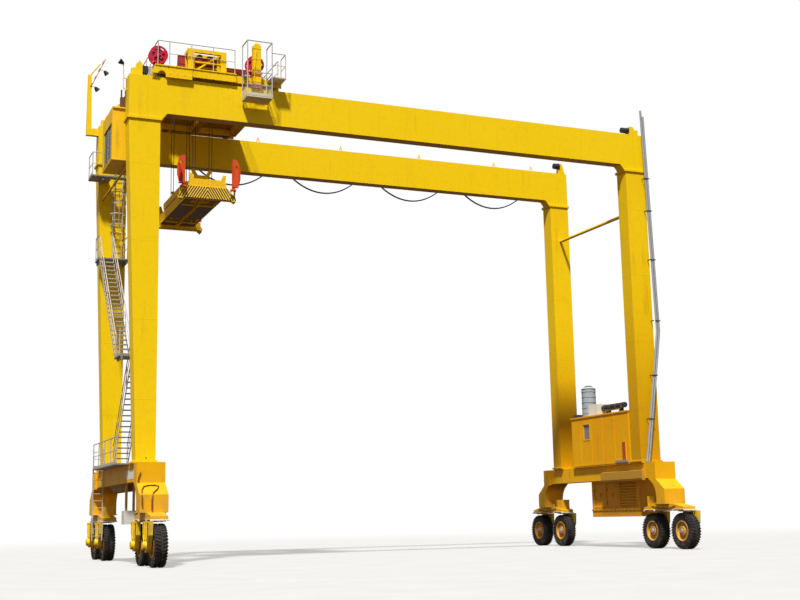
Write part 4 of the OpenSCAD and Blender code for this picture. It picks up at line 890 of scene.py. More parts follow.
def ring_recipe(name, item):
    """Equal blocks or hex bolts round the X axis, then turned and moved as one."""
    ring = Recipe("ring_of_" + name, [
        ("Count", "NodeSocketInt", 12), ("Radius", "NodeSocketFloat", 0.5),
        ("Offset", "NodeSocketFloat", 0.0), ("Phase", "NodeSocketFloat", 0.0),
        ("Size", "NodeSocketVector", None), ("Lean", "NodeSocketVector", None),
        ("Turn", "NodeSocketVector", None), ("Centre", "NodeSocketVector", None),
        ("Material", "NodeSocketMaterial", None)])
    spots = ring.add("GeometryNodeMeshLine", {"mode": "OFFSET"},
                     {"Count": ring.given("Count"), "Offset": (0.0, 0.0, 0.0)})
    part = ring.math("DIVIDE", ring.add("GeometryNodeInputIndex"), ring.given("Count"))
    angle = ring.math("MULTIPLY_ADD", part, 2 * math.pi, ring.given("Phase"))
    up = ring.math("MULTIPLY", ring.math("COSINE", angle), ring.given("Radius"))
    across = ring.math("MULTIPLY", ring.math("SINE", angle), ring.given("Radius"))
    where = ring.add("ShaderNodeCombineXYZ", {}, {
        "X": ring.given("Offset"), "Y": ring.math("MULTIPLY", across, -1.0), "Z": up})
    moved = ring.add("GeometryNodeSetPosition", {}, {"Geometry": spots, "Position": where})
    size = ring.given("Size")
    if item == "block":
        shape = ring.add("GeometryNodeMeshCube", {}, {"Size": size})
    else:
        shape = ring.add("GeometryNodeMeshCylinder", {}, {
            "Vertices": 6, "Radius": ring.add("ShaderNodeSeparateXYZ", {}, {0: size}),
            "Depth": ring.add("ShaderNodeSeparateXYZ", {}, {0: size}, output=2)})
    leaned = ring.add("GeometryNodeTransform", {},
                      {"Geometry": shape, "Rotation": ring.given("Lean")})
    spin = ring.add("FunctionNodeEulerToRotation", {}, {
        0: ring.add("ShaderNodeCombineXYZ", {}, {"X": angle})})
    placed = ring.add("GeometryNodeInstanceOnPoints", {},
                      {"Points": moved, "Instance": leaned, "Rotation": spin})
    real = ring.add("GeometryNodeRealizeInstances", {}, {0: placed})
    ring.finish(ring.put(real))
    return ring


def rope_recipe():
    """Turns of rope wound on a drum along the Z axis, then turned and moved as one."""
    turns = Recipe("rope_turns", [
        ("Turns", "NodeSocketFloat", 30.0), ("Radius", "NodeSocketFloat", 0.5),
        ("Length", "NodeSocketFloat", 2.0), ("Rope", "NodeSocketFloat", 0.014),
        ("Turn", "NodeSocketVector", None), ("Centre", "NodeSocketVector", None),
        ("Material", "NodeSocketMaterial", None)])
    helix = turns.add("GeometryNodeCurveSpiral", {}, {
        "Resolution": 36, "Rotations": turns.given("Turns"),
        "Start Radius": turns.given("Radius"), "End Radius": turns.given("Radius"),
        "Height": turns.given("Length")})
    section = turns.add("GeometryNodeCurvePrimitiveCircle", {"mode": "RADIUS"},
                        {"Resolution": 6, "Radius": turns.given("Rope")})
    turns.finish(turns.put(turns.add("GeometryNodeCurveToMesh", {}, {
        "Curve": helix, "Profile Curve": section, "Fill Caps": True})))
    return turns


def make_recipes():
    """Builds the trees for bolts, bars, rings of lugs or bolts, and rope turns."""
    RECIPES.update({"bolts": bolt_recipe(), "bars": bar_recipe(), "turns": rope_recipe(),
                    "lugs": ring_recipe("lugs", "block"),
                    "ring_bolts": ring_recipe("ring_bolts", "bolt")})


def bolt_field(name, places, turns, body, width=None, finish="dark_steel"):
    """Hex bolts at the given places, as one piece."""
    width = width or bpy.context.scene.crane_fittings.bolt_width
    return RECIPES["bolts"].make(name, finish, body, {"Width": width, "Height": width * 0.62},
                                 seeds(places, turns))


def bar_row(name, finish, body, start, step, count, size, turn=UP):
    """A row of equal bars, as one piece."""
    return RECIPES["bars"].make(name, finish, body, {
        "Count": count, "Start": tuple(dr(*start)), "Step": tuple(step), "Size": tuple(size),
        "Turn": tuple(turn)})


def ring_of(kind, name, finish, body, centre, radius, count, size, axis="X", lean=UP,
            offset=0.0, phase=0.0):
    """Equal items round an axis, as one piece."""
    turn = {"X": UP, "Y": (0.0, 0.0, math.pi / 2), "Z": (0.0, -math.pi / 2, 0.0)}[axis]
    return RECIPES[kind].make(name, finish, body, {
        "Count": count, "Radius": radius, "Offset": offset, "Phase": phase,
        "Size": tuple(size), "Lean": tuple(lean), "Turn": turn, "Centre": tuple(dr(*centre))})


def merged(name, finish, body, parts, smooth=None):
    """Joins pieces made by recipes into one piece."""
    whole = bmesh.new()
    for part in parts:
        whole.from_mesh(part.data)
        old = part.data
        bpy.data.objects.remove(part)
        bpy.data.meshes.remove(old)
    data = bpy.data.meshes.new(name)
    whole.to_mesh(data)
    whole.free()
    return settle(name, data, finish, body, smooth)


# Operators, one for each piece or group of like pieces

class CRANE_OT_finish_steelwork(bpy.types.Operator):
    """Makes the finishes and gives each solid its own"""
    bl_idname = "gantry_crane.finish_steelwork"
    bl_label = "Finish the steelwork"

    def execute(self, context):
        make_finishes()
        make_recipes()
        for finish, nodes in FINISH_OF_NODES.items():
            for node in nodes:
                slots = NODES[node].material_slots
                if not slots:
                    NODES[node].data.materials.append(None)
                for slot in slots:
                    slot.material = FINISHES[finish]
        return {"FINISHED"}


def along(low, high, pitch):
    """Even places from low to high, no further apart than pitch."""
    count = max(1, math.ceil((high - low) / pitch))
    return [low + (high - low) * i / count for i in range(count + 1)]


def flange_bolts_around(low, high, level, pitch):
    """Places of bolts round a rectangular flange, at one level."""
    inset = 0.03
    x0, y0, x1, y1 = low[0] + inset, low[1] + inset, high[0] - inset, high[1] - inset
    ring = [(x, y) for x in along(x0, x1, pitch) for y in (y0, y1)]
    ring += [(x, y) for y in along(y0, y1, pitch)[1:-1] for x in (x0, x1)]
    return [(x, y, level) for x, y in ring]


class CRANE_OT_flange_bolts(bpy.types.Operator):
    """Bolts round the flanges between girders, legs and sills"""
    bl_idname = "gantry_crane.flange_bolts"
    bl_label = "Flange bolts"

    def execute(self, context):
        pitch = context.scene.crane_fittings.bolt_pitch
        flange, left_base, ladder_reach = 0.05, 0.775, 0.10
        places, turns = [], []
        for leg in ("near_left_leg", "far_left_leg", "near_right_leg", "far_right_leg"):
            low, high = corners(leg)
            left = "left" in leg
            girder_low, girder_high = corners(leg.split("_")[0] + "_girder")
            x_low = girder_low.x if left else low.x
            x_high = high.x if left else girder_high.x
            for level, turn in ((high.z + flange, UP), (high.z - flange, DOWN)):
                ring = flange_bolts_around((x_low, low.y), (x_high, high.y), level, pitch)
                places += ring
                turns += [turn] * len(ring)
            x_low = -left_base - FLANGE_LIP if left else low.x
            ring = flange_bolts_around((x_low, low.y), (high.x, high.y), low.z + flange, pitch)
            ring = [place for place in ring if not left or place[1] > low.y + ladder_reach
                    or abs(place[0] - LEFT_LEGS_X) > ladder_reach]
            places += ring
            turns += [UP] * len(ring)
        bolt_field("flange_bolts", places, turns, "portal", 0.038, "leg")
        return {"FINISHED"}


class CRANE_OT_rail_clips(bpy.types.Operator):
    """Rail clips, end stops and buffers on both girders, and the lugs of the far one"""
    bl_idname = "gantry_crane.rail_clips"
    bl_label = "Rail clips and stops"

    def execute(self, context):
        pitch = context.scene.crane_fittings.clip_pitch
        foot = GIRDER_TOP + 0.002
        left_stop = [(-1.13, foot), (-0.74, foot), (-0.74, 20.28), (-0.86, 20.42),
                     (-0.98, 20.28), (-1.01, 20.09), (-1.13, 20.09)]
        right_stops = {
            "near": ([(22.92, foot), (23.26, foot), (23.20, 20.0), (23.10, 20.16),
                      (22.92, 20.16)], (0.01, 0.40), (22.53, 0.20, 19.99), 0.40, 0.135),
            "far": ([(23.16, foot), (23.54, foot), (23.38, 20.32), (23.20, 20.32)],
                    (7.205, 7.47), (22.895, 7.28, 20.172), 0.315, 0.155)}
        for side, y in RAILS_Y.items():
            low, high = corners(side + "_girder")
            start, end = low.x + 0.62, high.x - 0.62
            count = int((end - start) / pitch) + 1
            rows = []
            for s in (-1, 1):
                for out, up, size, turn in ((0.062, 0.011, (0.09, 0.06, 0.022), UP),
                                            (0.070, 0.03, (0.032, 0.032, 0.026),
                                             (0, 0, math.pi / 4))):
                    rows.append(bar_row("clip_row", "dark_steel", "portal",
                                        (start, y + s * out, GIRDER_TOP + up), (pitch, 0, 0),
                                        count, size, turn))
            merged(side + "_rail_clips", "dark_steel", "portal", rows)
            outline, deep, at, length, radius = right_stops[side]
            stop = Shape().plate(left_stop, "Y", y - 0.12, y + 0.12).plate(outline, "Y", *deep)
            stop.piece(side + "_end_stops", "mast", "portal", None, 0.004)
            buffers = Shape().box((-0.738, y - 0.12, 19.90), (-0.50, y + 0.12, 20.22), 0.02)
            buffers.lathe(at, "X", [(0.0, radius * 0.9), (0.02, radius), (length * 0.75, radius),
                                    (length * 0.78, radius + 0.015), (length, radius + 0.015)])
            buffers.piece(side + "_end_buffers", "seal", "portal", 35)
        lugs = Shape()
        lug_y = 7.25
        for x in (2.0, 6.31, 10.60, 14.90, 19.23, 21.46):
            for q in (-0.09, 0.08):
                lugs.tube([(x + q, lug_y, GIRDER_TOP - 0.002), (x + q * 0.5, lug_y, 19.88),
                           (x + 0.01, lug_y, 20.01)], 0.020, 8)
            lugs.box((x - 0.06, lug_y - 0.015, 19.84), (x + 0.06, lug_y + 0.015, 19.875))
        lugs.piece("girder_lugs", "mast", "portal", 40)
        return {"FINISHED"}


WHEEL_RADIUS = 0.8
WHEEL_HALF = 0.235


def wheel_centre(number):
    """Centre of a wheel in drawing coordinates, and the side its yoke stands on."""
    left = number < 5
    return (LEFT_LEGS_X if left else RIGHT_LEGS_X, middle(f"wheel_{number}").y,
            WHEEL_RADIUS), -1 if left else 1


TYRE_HALF = [(0.0, 0.772), (0.012, 0.760), (0.030, 0.772), (0.165, 0.768), (0.205, 0.752),
             (0.229, 0.712), (0.235, 0.668), (0.2335, 0.640), (0.2345, 0.630), (0.2345, 0.612),
             (0.2315, 0.604), (0.229, 0.560), (0.221, 0.505), (0.2235, 0.495), (0.2225, 0.480),
             (0.213, 0.455), (0.203, 0.425), (0.185, 0.402), (0.150, 0.398)]
RIM_PROFILE = [(0.213, 0.452), (0.222, 0.446), (0.224, 0.424), (0.205, 0.410), (0.198, 0.392),
               (0.120, 0.380), (0.112, 0.300), (0.140, 0.275), (0.145, 0.212), (0.205, 0.200),
               (0.205, 0.112), (-0.205, 0.112), (-0.205, 0.205), (-0.120, 0.215),
               (-0.110, 0.385), (-0.198, 0.392), (-0.205, 0.410), (-0.224, 0.424),
               (-0.222, 0.446), (-0.213, 0.452), (-0.185, 0.4015), (0.185, 0.4015)]
HUB_CAP_PROFILE = [(0.190, 0.111), (0.232, 0.111), (0.2475, 0.098), (0.254, 0.062),
                   (0.2545, 0.012)]
SIDEWAYS = (0.0, math.pi / 2, 0.0)


class CRANE_OT_tyres(bpy.types.Operator):
    """Tyres with lugs and ribs, dished rims, hub caps and wheel nuts"""
    bl_idname = "gantry_crane.tyres"
    bl_label = "Tyres and rims"

    def execute(self, context):
        lugs = context.scene.crane_fittings.tread_lugs
        tyre_profile = TYRE_HALF + [(-a, r) for a, r in reversed(TYRE_HALF[1:])]
        for number in range(1, 9):
            centre, side = wheel_centre(number)
            inner = -side
            body = f"wheel_{number}"
            tyre = Shape().turned_ring(centre, "X", tyre_profile, 96)
            tyre = tyre.piece(body + "_tyre", "tyre", body, 30)
            rows = []
            for s in (-1, 1):
                phase = 0.0 if s < 0 else math.pi / lugs
                rows.append(ring_of("lugs", "lug_row", "tyre", body, centre, 0.778, lugs,
                                    (0.155, 0.062, 0.042), offset=s * 0.118, phase=phase,
                                    lean=(0.0, 0.0, s * 0.42)))
                rows.append(ring_of("lugs", "shoulder_row", "tyre", body, centre, 0.742, lugs,
                                    (0.036, 0.055, 0.075), offset=s * 0.213,
                                    phase=phase + s * 0.035, lean=(0.0, s * 0.32, 0.0)))
            merged(body + "_tread", "tyre", body, rows)
            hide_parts(body)
            rim = Shape().turned_ring(centre, "X", [(inner * a, r) for a, r in RIM_PROFILE], 64)
            rim.piece(body + "_rim", "rim", body, 35)
            cap = Shape().lathe(centre, "X", [(inner * a, r) for a, r in HUB_CAP_PROFILE])
            cap.piece(body + "_hub_cap", "cap", body, 35)
            nuts = [ring_of("ring_bolts", name, "steel", body, centre, radius, count, size,
                            lean=SIDEWAYS, offset=inner * offset)
                    for name, radius, count, size, offset in (
                        ("wheel_nuts_row", 0.243, 16, (0.018, 0.0, 0.034), 0.157),
                        ("hub_bolts_row", 0.156, 10, (0.012, 0.0, 0.018), 0.212))]
            merged(body + "_nuts", "steel", body, nuts)
            x, y, z = centre
            valve = Shape().tube([(x + inner * 0.125, y, z + 0.345),
                                  (x + inner * 0.175, y, z + 0.350),
                                  (x + inner * 0.205, y + 0.01, z + 0.335)], 0.007, 8)
            valve.piece(body + "_valve", "steel", body, 40)
        return {"FINISHED"}


class CRANE_OT_running_gear(bpy.types.Operator):
    """Axle caps and webs of the yokes, fender bars, hoses and bolts of the bogies"""
    bl_idname = "gantry_crane.running_gear"
    bl_label = "Running gear"

    def execute(self, context):
        bushing, arm_gap, arm, web_depth = 0.055, 0.04, 0.2, 0.022
        outline = [(-0.53, 1.665), (0.53, 1.665), (0.49, 1.18), (0.222, 0.672),
                   (0.114, 0.567), (-0.114, 0.567), (-0.222, 0.672), (-0.49, 1.18)]
        web_middle, shrunk = 1.12, 0.90
        inner = [(a * shrunk, web_middle + (b - web_middle) * shrunk) for a, b in outline]
        pocket = ((0.20, 1.60), (0.46, 1.60), (0.43, 1.20), (0.27, 0.90), (0.20, 0.90))
        for number in range(1, 9):
            (x, y, z), side = wheel_centre(number)
            body = f"yoke_{number}"
            hub = (x + side * (arm + WHEEL_HALF + arm_gap + bushing), y, z)
            cap = Shape().lathe(hub, "X", [(side * -0.02, 0.150), (side * 0.012, 0.150),
                                           (side * 0.030, 0.128), (side * 0.034, 0.05)], 40)
            cap.piece(body + "_axle_cap", "yoke", body, 35)
            ring_of("ring_bolts", body + "_cap_bolts", "dark_steel", body, hub, 0.138, 12,
                    (0.011, 0.0, 0.016), lean=SIDEWAYS, offset=side * 0.018)
            face = x + side * (WHEEL_HALF + arm_gap + 0.15)
            web = Shape()
            for i, (a, b) in enumerate(outline):
                j = (i + 1) % len(outline)
                corner_points = ((a, b), outline[j], inner[j], inner[i])
                web.plate([(y + q, r) for q, r in corner_points], "X",
                          *sorted((face, face + side * web_depth)))
            rib_low, rib_high = sorted((face, face + side * 0.05))
            for q in (-0.17, 0.145):
                web.box((rib_low, y + q, 1.02), (rib_high, y + q + 0.025, 1.62))
            web.piece(body + "_webs", "yoke", body, None, 0.004)
            # Thin dark brown sheets in the pockets' outlines: painted shade of the recessed
            # pockets, with dirt in them.
            pocket_shade_sheets = Shape()
            for s in (-1, 1):
                pocket_shade_sheets.plate([(y + s * a, b) for a, b in pocket], "X",
                              *sorted((face, face + side * 0.003)))
            pocket_shade_sheets.piece(body + "_pockets", "soil", body)
        bolts = []
        bar_z, bolt_z = 1.715, 2.0
        for bogie in ("near_left_bogie", "far_left_bogie", "near_right_bogie",
                      "far_right_bogie"):
            near, left = "near" in bogie, "left" in bogie
            c = LEFT_LEGS_X if left else RIGHT_LEGS_X
            out = -1 if near else 1
            leg = NEAR_LEGS_Y if near else FAR_LEGS_Y
            mid = leg + out * 1.625
            fender = Shape()
            for wheel in (0.5, 2.75):
                y = leg + out * wheel
                for s in (-1, 1):
                    fender.box((c - 0.36, y + s * 0.40 - 0.03, bar_z - 0.03),
                               (c + 0.36, y + s * 0.40 + 0.03, bar_z + 0.03), 0.008)
                fender.box((c - 0.345, y - 0.40, bar_z + 0.028),
                           (c - 0.32, y + 0.40, bar_z + 0.045))
            fender.piece(bogie + "_fender_bars", "white", "portal", None, 0.003)
            bolts += [(c + x, mid + s * 0.40, bolt_z) for s in (-1, 1)
                      for x in (-0.45, -0.15, 0.15, 0.45)]
            side_x = c + (0.34 if left else -0.34)
            hose = Shape().tube([(side_x, mid - out * 0.9, 1.92), (side_x, mid - out * 0.3, 1.80),
                                 (side_x, mid + out * 0.3, 1.80),
                                 (side_x, mid + out * 0.9, 1.90)], 0.014, 8)
            hose.piece(bogie + "_hose", "black_cable", "portal", 40)
        bolt_field("bogie_bolts", bolts, [DOWN] * len(bolts), "portal")
        return {"FINISHED"}


def wall_frame(shape, axis, level, low, high, width, depth):
    """A raised frame round an opening on a wall; low and high are its two corners."""
    a0, b0 = low
    a1, b1 = high
    for (p, q), (r, s) in (((a0, b0 - width), (a1, b0)), ((a0, b1), (a1, b1 + width)),
                           ((a0 - width, b0 - width), (a0, b1 + width)),
                           ((a1, b0 - width), (a1 + width, b1 + width))):
        first, second = sorted((level, level + depth))
        if axis == "X":
            shape.box((first, p, q), (second, r, s))
        else:
            shape.box((p, first, q), (r, second, s))


class CRANE_OT_generator_fittings(bpy.types.Operator):
    """Louvre blades, door frames, handles, hinges and bolts of the generator housing"""
    bl_idname = "gantry_crane.generator_fittings"
    bl_label = "Generator housing fittings"

    def execute(self, context):
        trim = 0.03
        low = corners("generator_housing")[0]
        x0, y0, z0 = map(nominal, (low.x + trim, low.y + trim, low.z))
        depth, length = 1.3, 4.15
        blade_count, blade_pitch = 9, 0.13
        blades = [bar_row("louvre_row", "genset", "portal", (x, y, z0 + 0.53),
                          (0, 0, blade_pitch), blade_count, (0.012, wide, 0.085), (0, tilt, 0))
                  for x, y, wide, tilt in ((x0 + 0.020, y0 + 0.95, 1.39, 0.62),
                                           (x0 + depth - 0.020, y0 + 1.2, 1.69, -0.62))]
        merged("generator_louvres", "genset", "portal", blades)
        boxes("generator_grille_backs", "dark_steel", "portal", [
            ((x, y0 + near, z + 0.002), (x + 0.01, y0 + far, z + 0.073))
            for z in (z0 + 0.48 + i * blade_pitch for i in range(blade_count))
            for x, near, far in ((x0 + 0.058, 0.252, 1.648),
                                 (x0 + depth - 0.068, 0.352, 2.048))])
        trims = Shape()
        doors = (1.85, 2.95)
        for y in doors:
            wall_frame(trims, "X", x0, (y0 + y, z0 + 0.48), (y0 + y + 0.95, 3.08), 0.03, -0.014)
            trims.box((x0 - 0.030, y0 + y + 0.44, z0 + 0.95), (x0 + 0.02, y0 + y + 0.47, z0 + 1.15),
                      0.004)
        wall_frame(trims, "X", x0, (y0 + 0.25, z0 + 0.48), (y0 + 1.65, z0 + 1.6), 0.035, -0.014)
        trims.piece("generator_door_frames", "genset", "portal", None, 0.003)
        hinge = Shape()
        for y in doors:
            for z in (0.62, 1.25):
                hinge.lathe((x0 - 0.016, y0 + y + 0.93, z0 + z), "Z",
                            [(0.0, 0.014), (0.11, 0.014)], 10)
        hinge.piece("generator_hinges", "dark_steel", "portal", 40)
        skirt = [(x0 - 0.03, y, z0 + 0.34) for y in along(y0 + 0.1, y0 + length - 0.1, 0.35)]
        bolt_field("generator_skirt_bolts", skirt, [TO_LEFT] * len(skirt), "portal", 0.03)
        return {"FINISHED"}


class CRANE_OT_house_fittings(bpy.types.Operator):
    """Window, door, louvres and roof fittings of the machine house, and the exhaust pair"""
    bl_idname = "gantry_crane.house_fittings"
    bl_label = "Machine house fittings"

    def execute(self, context):
        low, high = corners("machine_house")
        eaves = 0.07
        x0, y0, z0 = map(nominal, (low.x + 0.08, low.y + 0.03, low.z))
        roof = nominal(high.z)
        x1 = x0 + 1.45
        boxes("house_window_glass", "glass", "portal",
              [((x0 + 0.035, y0 + 3.43, z0 + 1.35), (x0 + 0.047, y0 + 3.98, z0 + 2.08))])
        trim = Shape()
        wall_frame(trim, "X", x0, (y0 + 3.42, z0 + 1.34), (y0 + 3.99, z0 + 2.09), 0.035, -0.016)
        wall_frame(trim, "X", x1, (y0 + 0.60, z0 + 0.20), (y0 + 1.50, z0 + 2.15), 0.04, 0.018)
        wall_frame(trim, "X", x1, (y0 + 2.30, z0 + 0.50), (y0 + 4.30, z0 + 1.95), 0.04, 0.018)
        for y in (1.20, 2.25, 3.25, 4.25):
            trim.box((x0 - 0.012, y0 + y, z0 + 0.12), (x0, y0 + y + 0.05, roof - eaves - 0.01))
        trim.piece("house_frames", "house", "portal", None, 0.003)
        door = Shape().box((x1 - 0.045, y0 + 0.62, z0 + 0.22),
                           (x1 - 0.015, y0 + 1.48, z0 + 2.13), 0.006)
        door.box((x1 - 0.015, y0 + 0.66, z0 + 1.10), (x1 + 0.035, y0 + 0.70, z0 + 1.30), 0.008)
        door.piece("house_door", "house", "portal", None, 0.004)
        blade_count, blade_pitch = 9, 0.17
        bar_row("house_louvres", "house", "portal", (x1 - 0.012, y0 + 3.3, z0 + 0.545),
                (0, 0, blade_pitch), blade_count, (0.012, 1.98, 0.10), (0, -0.6, 0))
        boxes("house_grille_backs", "dark_steel", "portal", [
            ((x1 - 0.038, y0 + 2.305, z + 0.003), (x1 - 0.030, y0 + 4.295, z + 0.087))
            for z in (z0 + 0.50 + i * blade_pitch for i in range(blade_count))])
        self.roof_fittings(x0 + 0.5, y0 + 4.15, roof)
        self.exhaust()
        return {"FINISHED"}

    def roof_fittings(self, x, y, roof):
        """Ribs and cap of the radiator stack, straps of the silencer and ribs of the cooler."""
        rims = Shape()
        for i in range(21):
            z = roof + 0.045 + i * 0.0675
            if abs((z - roof - 0.195 + 0.135) % 0.27 - 0.135) > 0.03:
                rims.turned_ring((x, y, z), "Z",
                                 [(-0.008, 0.3505), (0.0, 0.3575), (0.008, 0.3505)])
        rims.piece("radiator_ribs", "roof_grey", "portal", 30)
        cap = Shape().lathe((x, y, roof + 1.53), "Z", [(0.0, 0.19), (0.02, 0.20), (0.05, 0.15),
                                                       (0.055, 0.04)], 40)
        cap.piece("radiator_cap", "dark_steel", "portal", 35)
        straps = Shape()
        for strap_y in (1.80, 2.30, 2.80, 3.35):
            straps.turned_ring((x - 0.10, strap_y, roof + 0.33), "Y",
                               [(-0.02, 0.1305), (-0.02, 0.141), (0.02, 0.141), (0.02, 0.1305)],
                               40)
        for i in range(3):
            straps.tube([(x - 0.22, 1.7 + 0.05 * i, roof + 0.30), (x - 0.27, 1.8, roof + 0.14),
                         (x - 0.25, 3.3, roof + 0.12 + 0.05 * i)], 0.012, 8)
        straps.piece("silencer_straps", "steel", "portal", 30)
        ribs = [bar_row("cooler_row", "roof_grey", "portal", (x + out, y - 1.42, roof + up),
                        (0, 0.085, 0), 10, size)
                for out, up, size in ((-0.432, 0.26, (0.024, 0.012, 0.50)),
                                      (-0.08, 0.530, (0.64, 0.012, 0.02)))]
        merged("cooler_ribs", "roof_grey", "portal", ribs)

    def exhaust(self):
        """The pair of pipes up the front of the near right leg, their feet and clamps."""
        pipe_y, pipe_pitch, radius, bend_z, lower_tip = -0.20, 0.116, 0.0525, 10.29, 0.30
        path = [(22.72, 3.925), (22.80, 4.30), (23.67, 9.95), (23.69, 10.12), (23.685, bend_z),
                (23.44, 20.95)]
        pair, feet, clamps = Shape(), Shape(), Shape()
        for i in (0, 1):
            route = [(x + i * pipe_pitch, pipe_y, z - (i * lower_tip if z > 20 else 0))
                     for x, z in path]
            pair.tube(route, radius, 20)
            feet.lathe((route[0][0], pipe_y, 3.912), "Z",
                       [(0.0, 0.0560), (0.0, 0.0575), (0.02, 0.0575), (0.03, 0.0545)], 24)
        run = pair.piece("exhaust_run", "exhaust", "portal", 40)
        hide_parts("exhaust_pipe")
        feet.piece("exhaust_feet", "dark_steel", "portal", 35)
        for z in (5.9, 7.95, 10.55, 13.5, 15.9, 17.5):
            x = 22.80 + (z - 4.30) * 0.154 if z < 10 else 23.685 - (z - bend_z) * 0.023
            clamps.box((x - 0.085, -0.268, z), (x + 0.20, -0.256, z + 0.05), 0.003)
            clamps.box((min(x - 0.085, 23.50), -0.256, z),
                       (min(x - 0.07, 23.52), -0.002, z + 0.05), 0.003)
        clamps.piece("exhaust_clamps", "dark_steel", "portal")


class CRANE_OT_walkways(bpy.types.Operator):
    """Gratings, kick plates and stair treads"""
    bl_idname = "gantry_crane.walkways"
    bl_label = "Walkways and stairs"

    def execute(self, context):
        pitch = context.scene.crane_fittings.grating_pitch
        cross_pitch, step_rise = 0.1, 0.215
        landings = [((-1.32, 0.80), (-0.08, 1.87), 8.25, "landing_1"),
                    ((-1.32, 6.13), (-0.08, 7.17), 13.30, "landing_2"),
                    ((-1.72, 6.17), (-0.83, 7.18), 17.10, "landing_3"),
                    ((-0.83, 6.17), (-0.07, 6.54), 17.10, "landing_3_front"),
                    ((-1.30, 1.05), (-0.45, 6.55), 3.96, "sill_deck")]
        for (x0, y0), (x1, y1), z, name in landings:
            count = int((x1 - x0) / pitch)
            rows = [bar_row("bearing_bars", "grating", "portal",
                            (x0 + pitch / 2, (y0 + y1) / 2, z + 0.006), (pitch, 0, 0), count,
                            (0.006, y1 - y0, 0.012))]
            cross = int((y1 - y0) / cross_pitch)
            rows.append(bar_row("cross_bars", "grating", "portal",
                                ((x0 + x1) / 2, y0 + 0.05, z + 0.004), (0, cross_pitch, 0), cross,
                                (x1 - x0, 0.006, 0.006)))
            merged(name + "_grating", "grating", "portal", rows)
        kick = Shape()
        for (x0, y0), (x1, y1), z, name in landings[:2]:
            kick.box((x0 - 0.018, y0, z), (x0 - 0.010, y1, z + 0.10))
        kick.box((-1.738, 6.17, 17.10), (-1.730, 7.18, 17.20))
        kick.box((-1.33, 1.06, 3.96), (-1.322, 6.55, 4.06))
        kick.piece("kick_plates", "zinc", "portal")
        for node, y0, z0, y1, z1, x in (("lower_stair", 5.5, 3.96, 1.9, 8.25, -0.66),
                                        ("upper_stair", 1.75, 8.25, 6.1, 13.3, -1.33)):
            n = round((z1 - z0) / step_rise)
            dy, dz = (y1 - y0) / n, (z1 - z0) / n
            rows = [bar_row("tread_bars", "grating", "portal",
                            (x + 0.3, y0 + dy + off, z0 + dz - 0.026), (0, dy, dz), n - 1,
                            (0.572, 0.005, 0.010))
                    for off in (-0.10, -0.06, -0.02, 0.02, 0.06)]
            rows.append(bar_row("nosings", "grating", "portal",
                                (x + 0.3, y0 + dy - math.copysign(0.112, dy), z0 + dz - 0.025),
                                (0, dy, dz), n - 1, (0.572, 0.018, 0.014)))
            merged(node + "_treads", "grating", "portal", rows)
        return {"FINISHED"}


class CRANE_OT_festoon(bpy.types.Operator):
    """Carriages and cable bundle of the festoon"""
    bl_idname = "gantry_crane.festoon"
    bl_label = "Festoon"

    def execute(self, context):
        low, high = corners("festoon_cable")
        y = (low.y + high.y) / 2
        z = high.z
        places = festoon_places()
        carriers = Shape()
        for x in places:
            for s in (-1, 1):
                carriers.box((x - 0.07, y + s * 0.053, z - 0.05),
                             (x + 0.07, y + s * 0.062, z + 0.075), 0.002)
                for dx in (-0.045, 0.045):
                    carriers.lathe((x + dx, y + s * 0.062, z + 0.05), "Y",
                                   [(0.0, 0.022), (s * 0.012, 0.022)], 12)
        carriers.piece("festoon_carriages", "steel", "portal", 35)
        bundle = Shape()
        half_steps, fullness = 14, 1.25
        for a, b in zip(places, places[1:]):
            for s in (-0.031, 0.0, 0.031):
                route = []
                for i in range(-half_steps, half_steps + 1):
                    rise = (math.cosh(fullness * i / half_steps) - 1) / (math.cosh(fullness) - 1)
                    route.append(((a + b) / 2 + (b - a) / (2 * half_steps) * i, y + s,
                                  z - 0.133 - (z - 0.146 - low.z) * (1 - rise)))
                bundle.tube(route, 0.029, 8)
        bundle.piece("festoon_bundle", "cable", "portal", 40)
        return {"FINISHED"}


def festoon_places():
    """X of the carriages: where the trailing cable reaches its top."""
    mesh = NODES["festoon_cable"].data
    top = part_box("festoon_cable")[1].z
    tops = sorted(v.co.x - DRAWING_ORIGIN.x for v in mesh.vertices if v.co.z > top - 0.002)
    groups = []
    for x in tops:
        if groups and x - groups[-1][-1] < 0.5:
            groups[-1].append(x)
        else:
            groups.append([x])
    return [(g[0] + g[-1]) / 2 for g in groups]


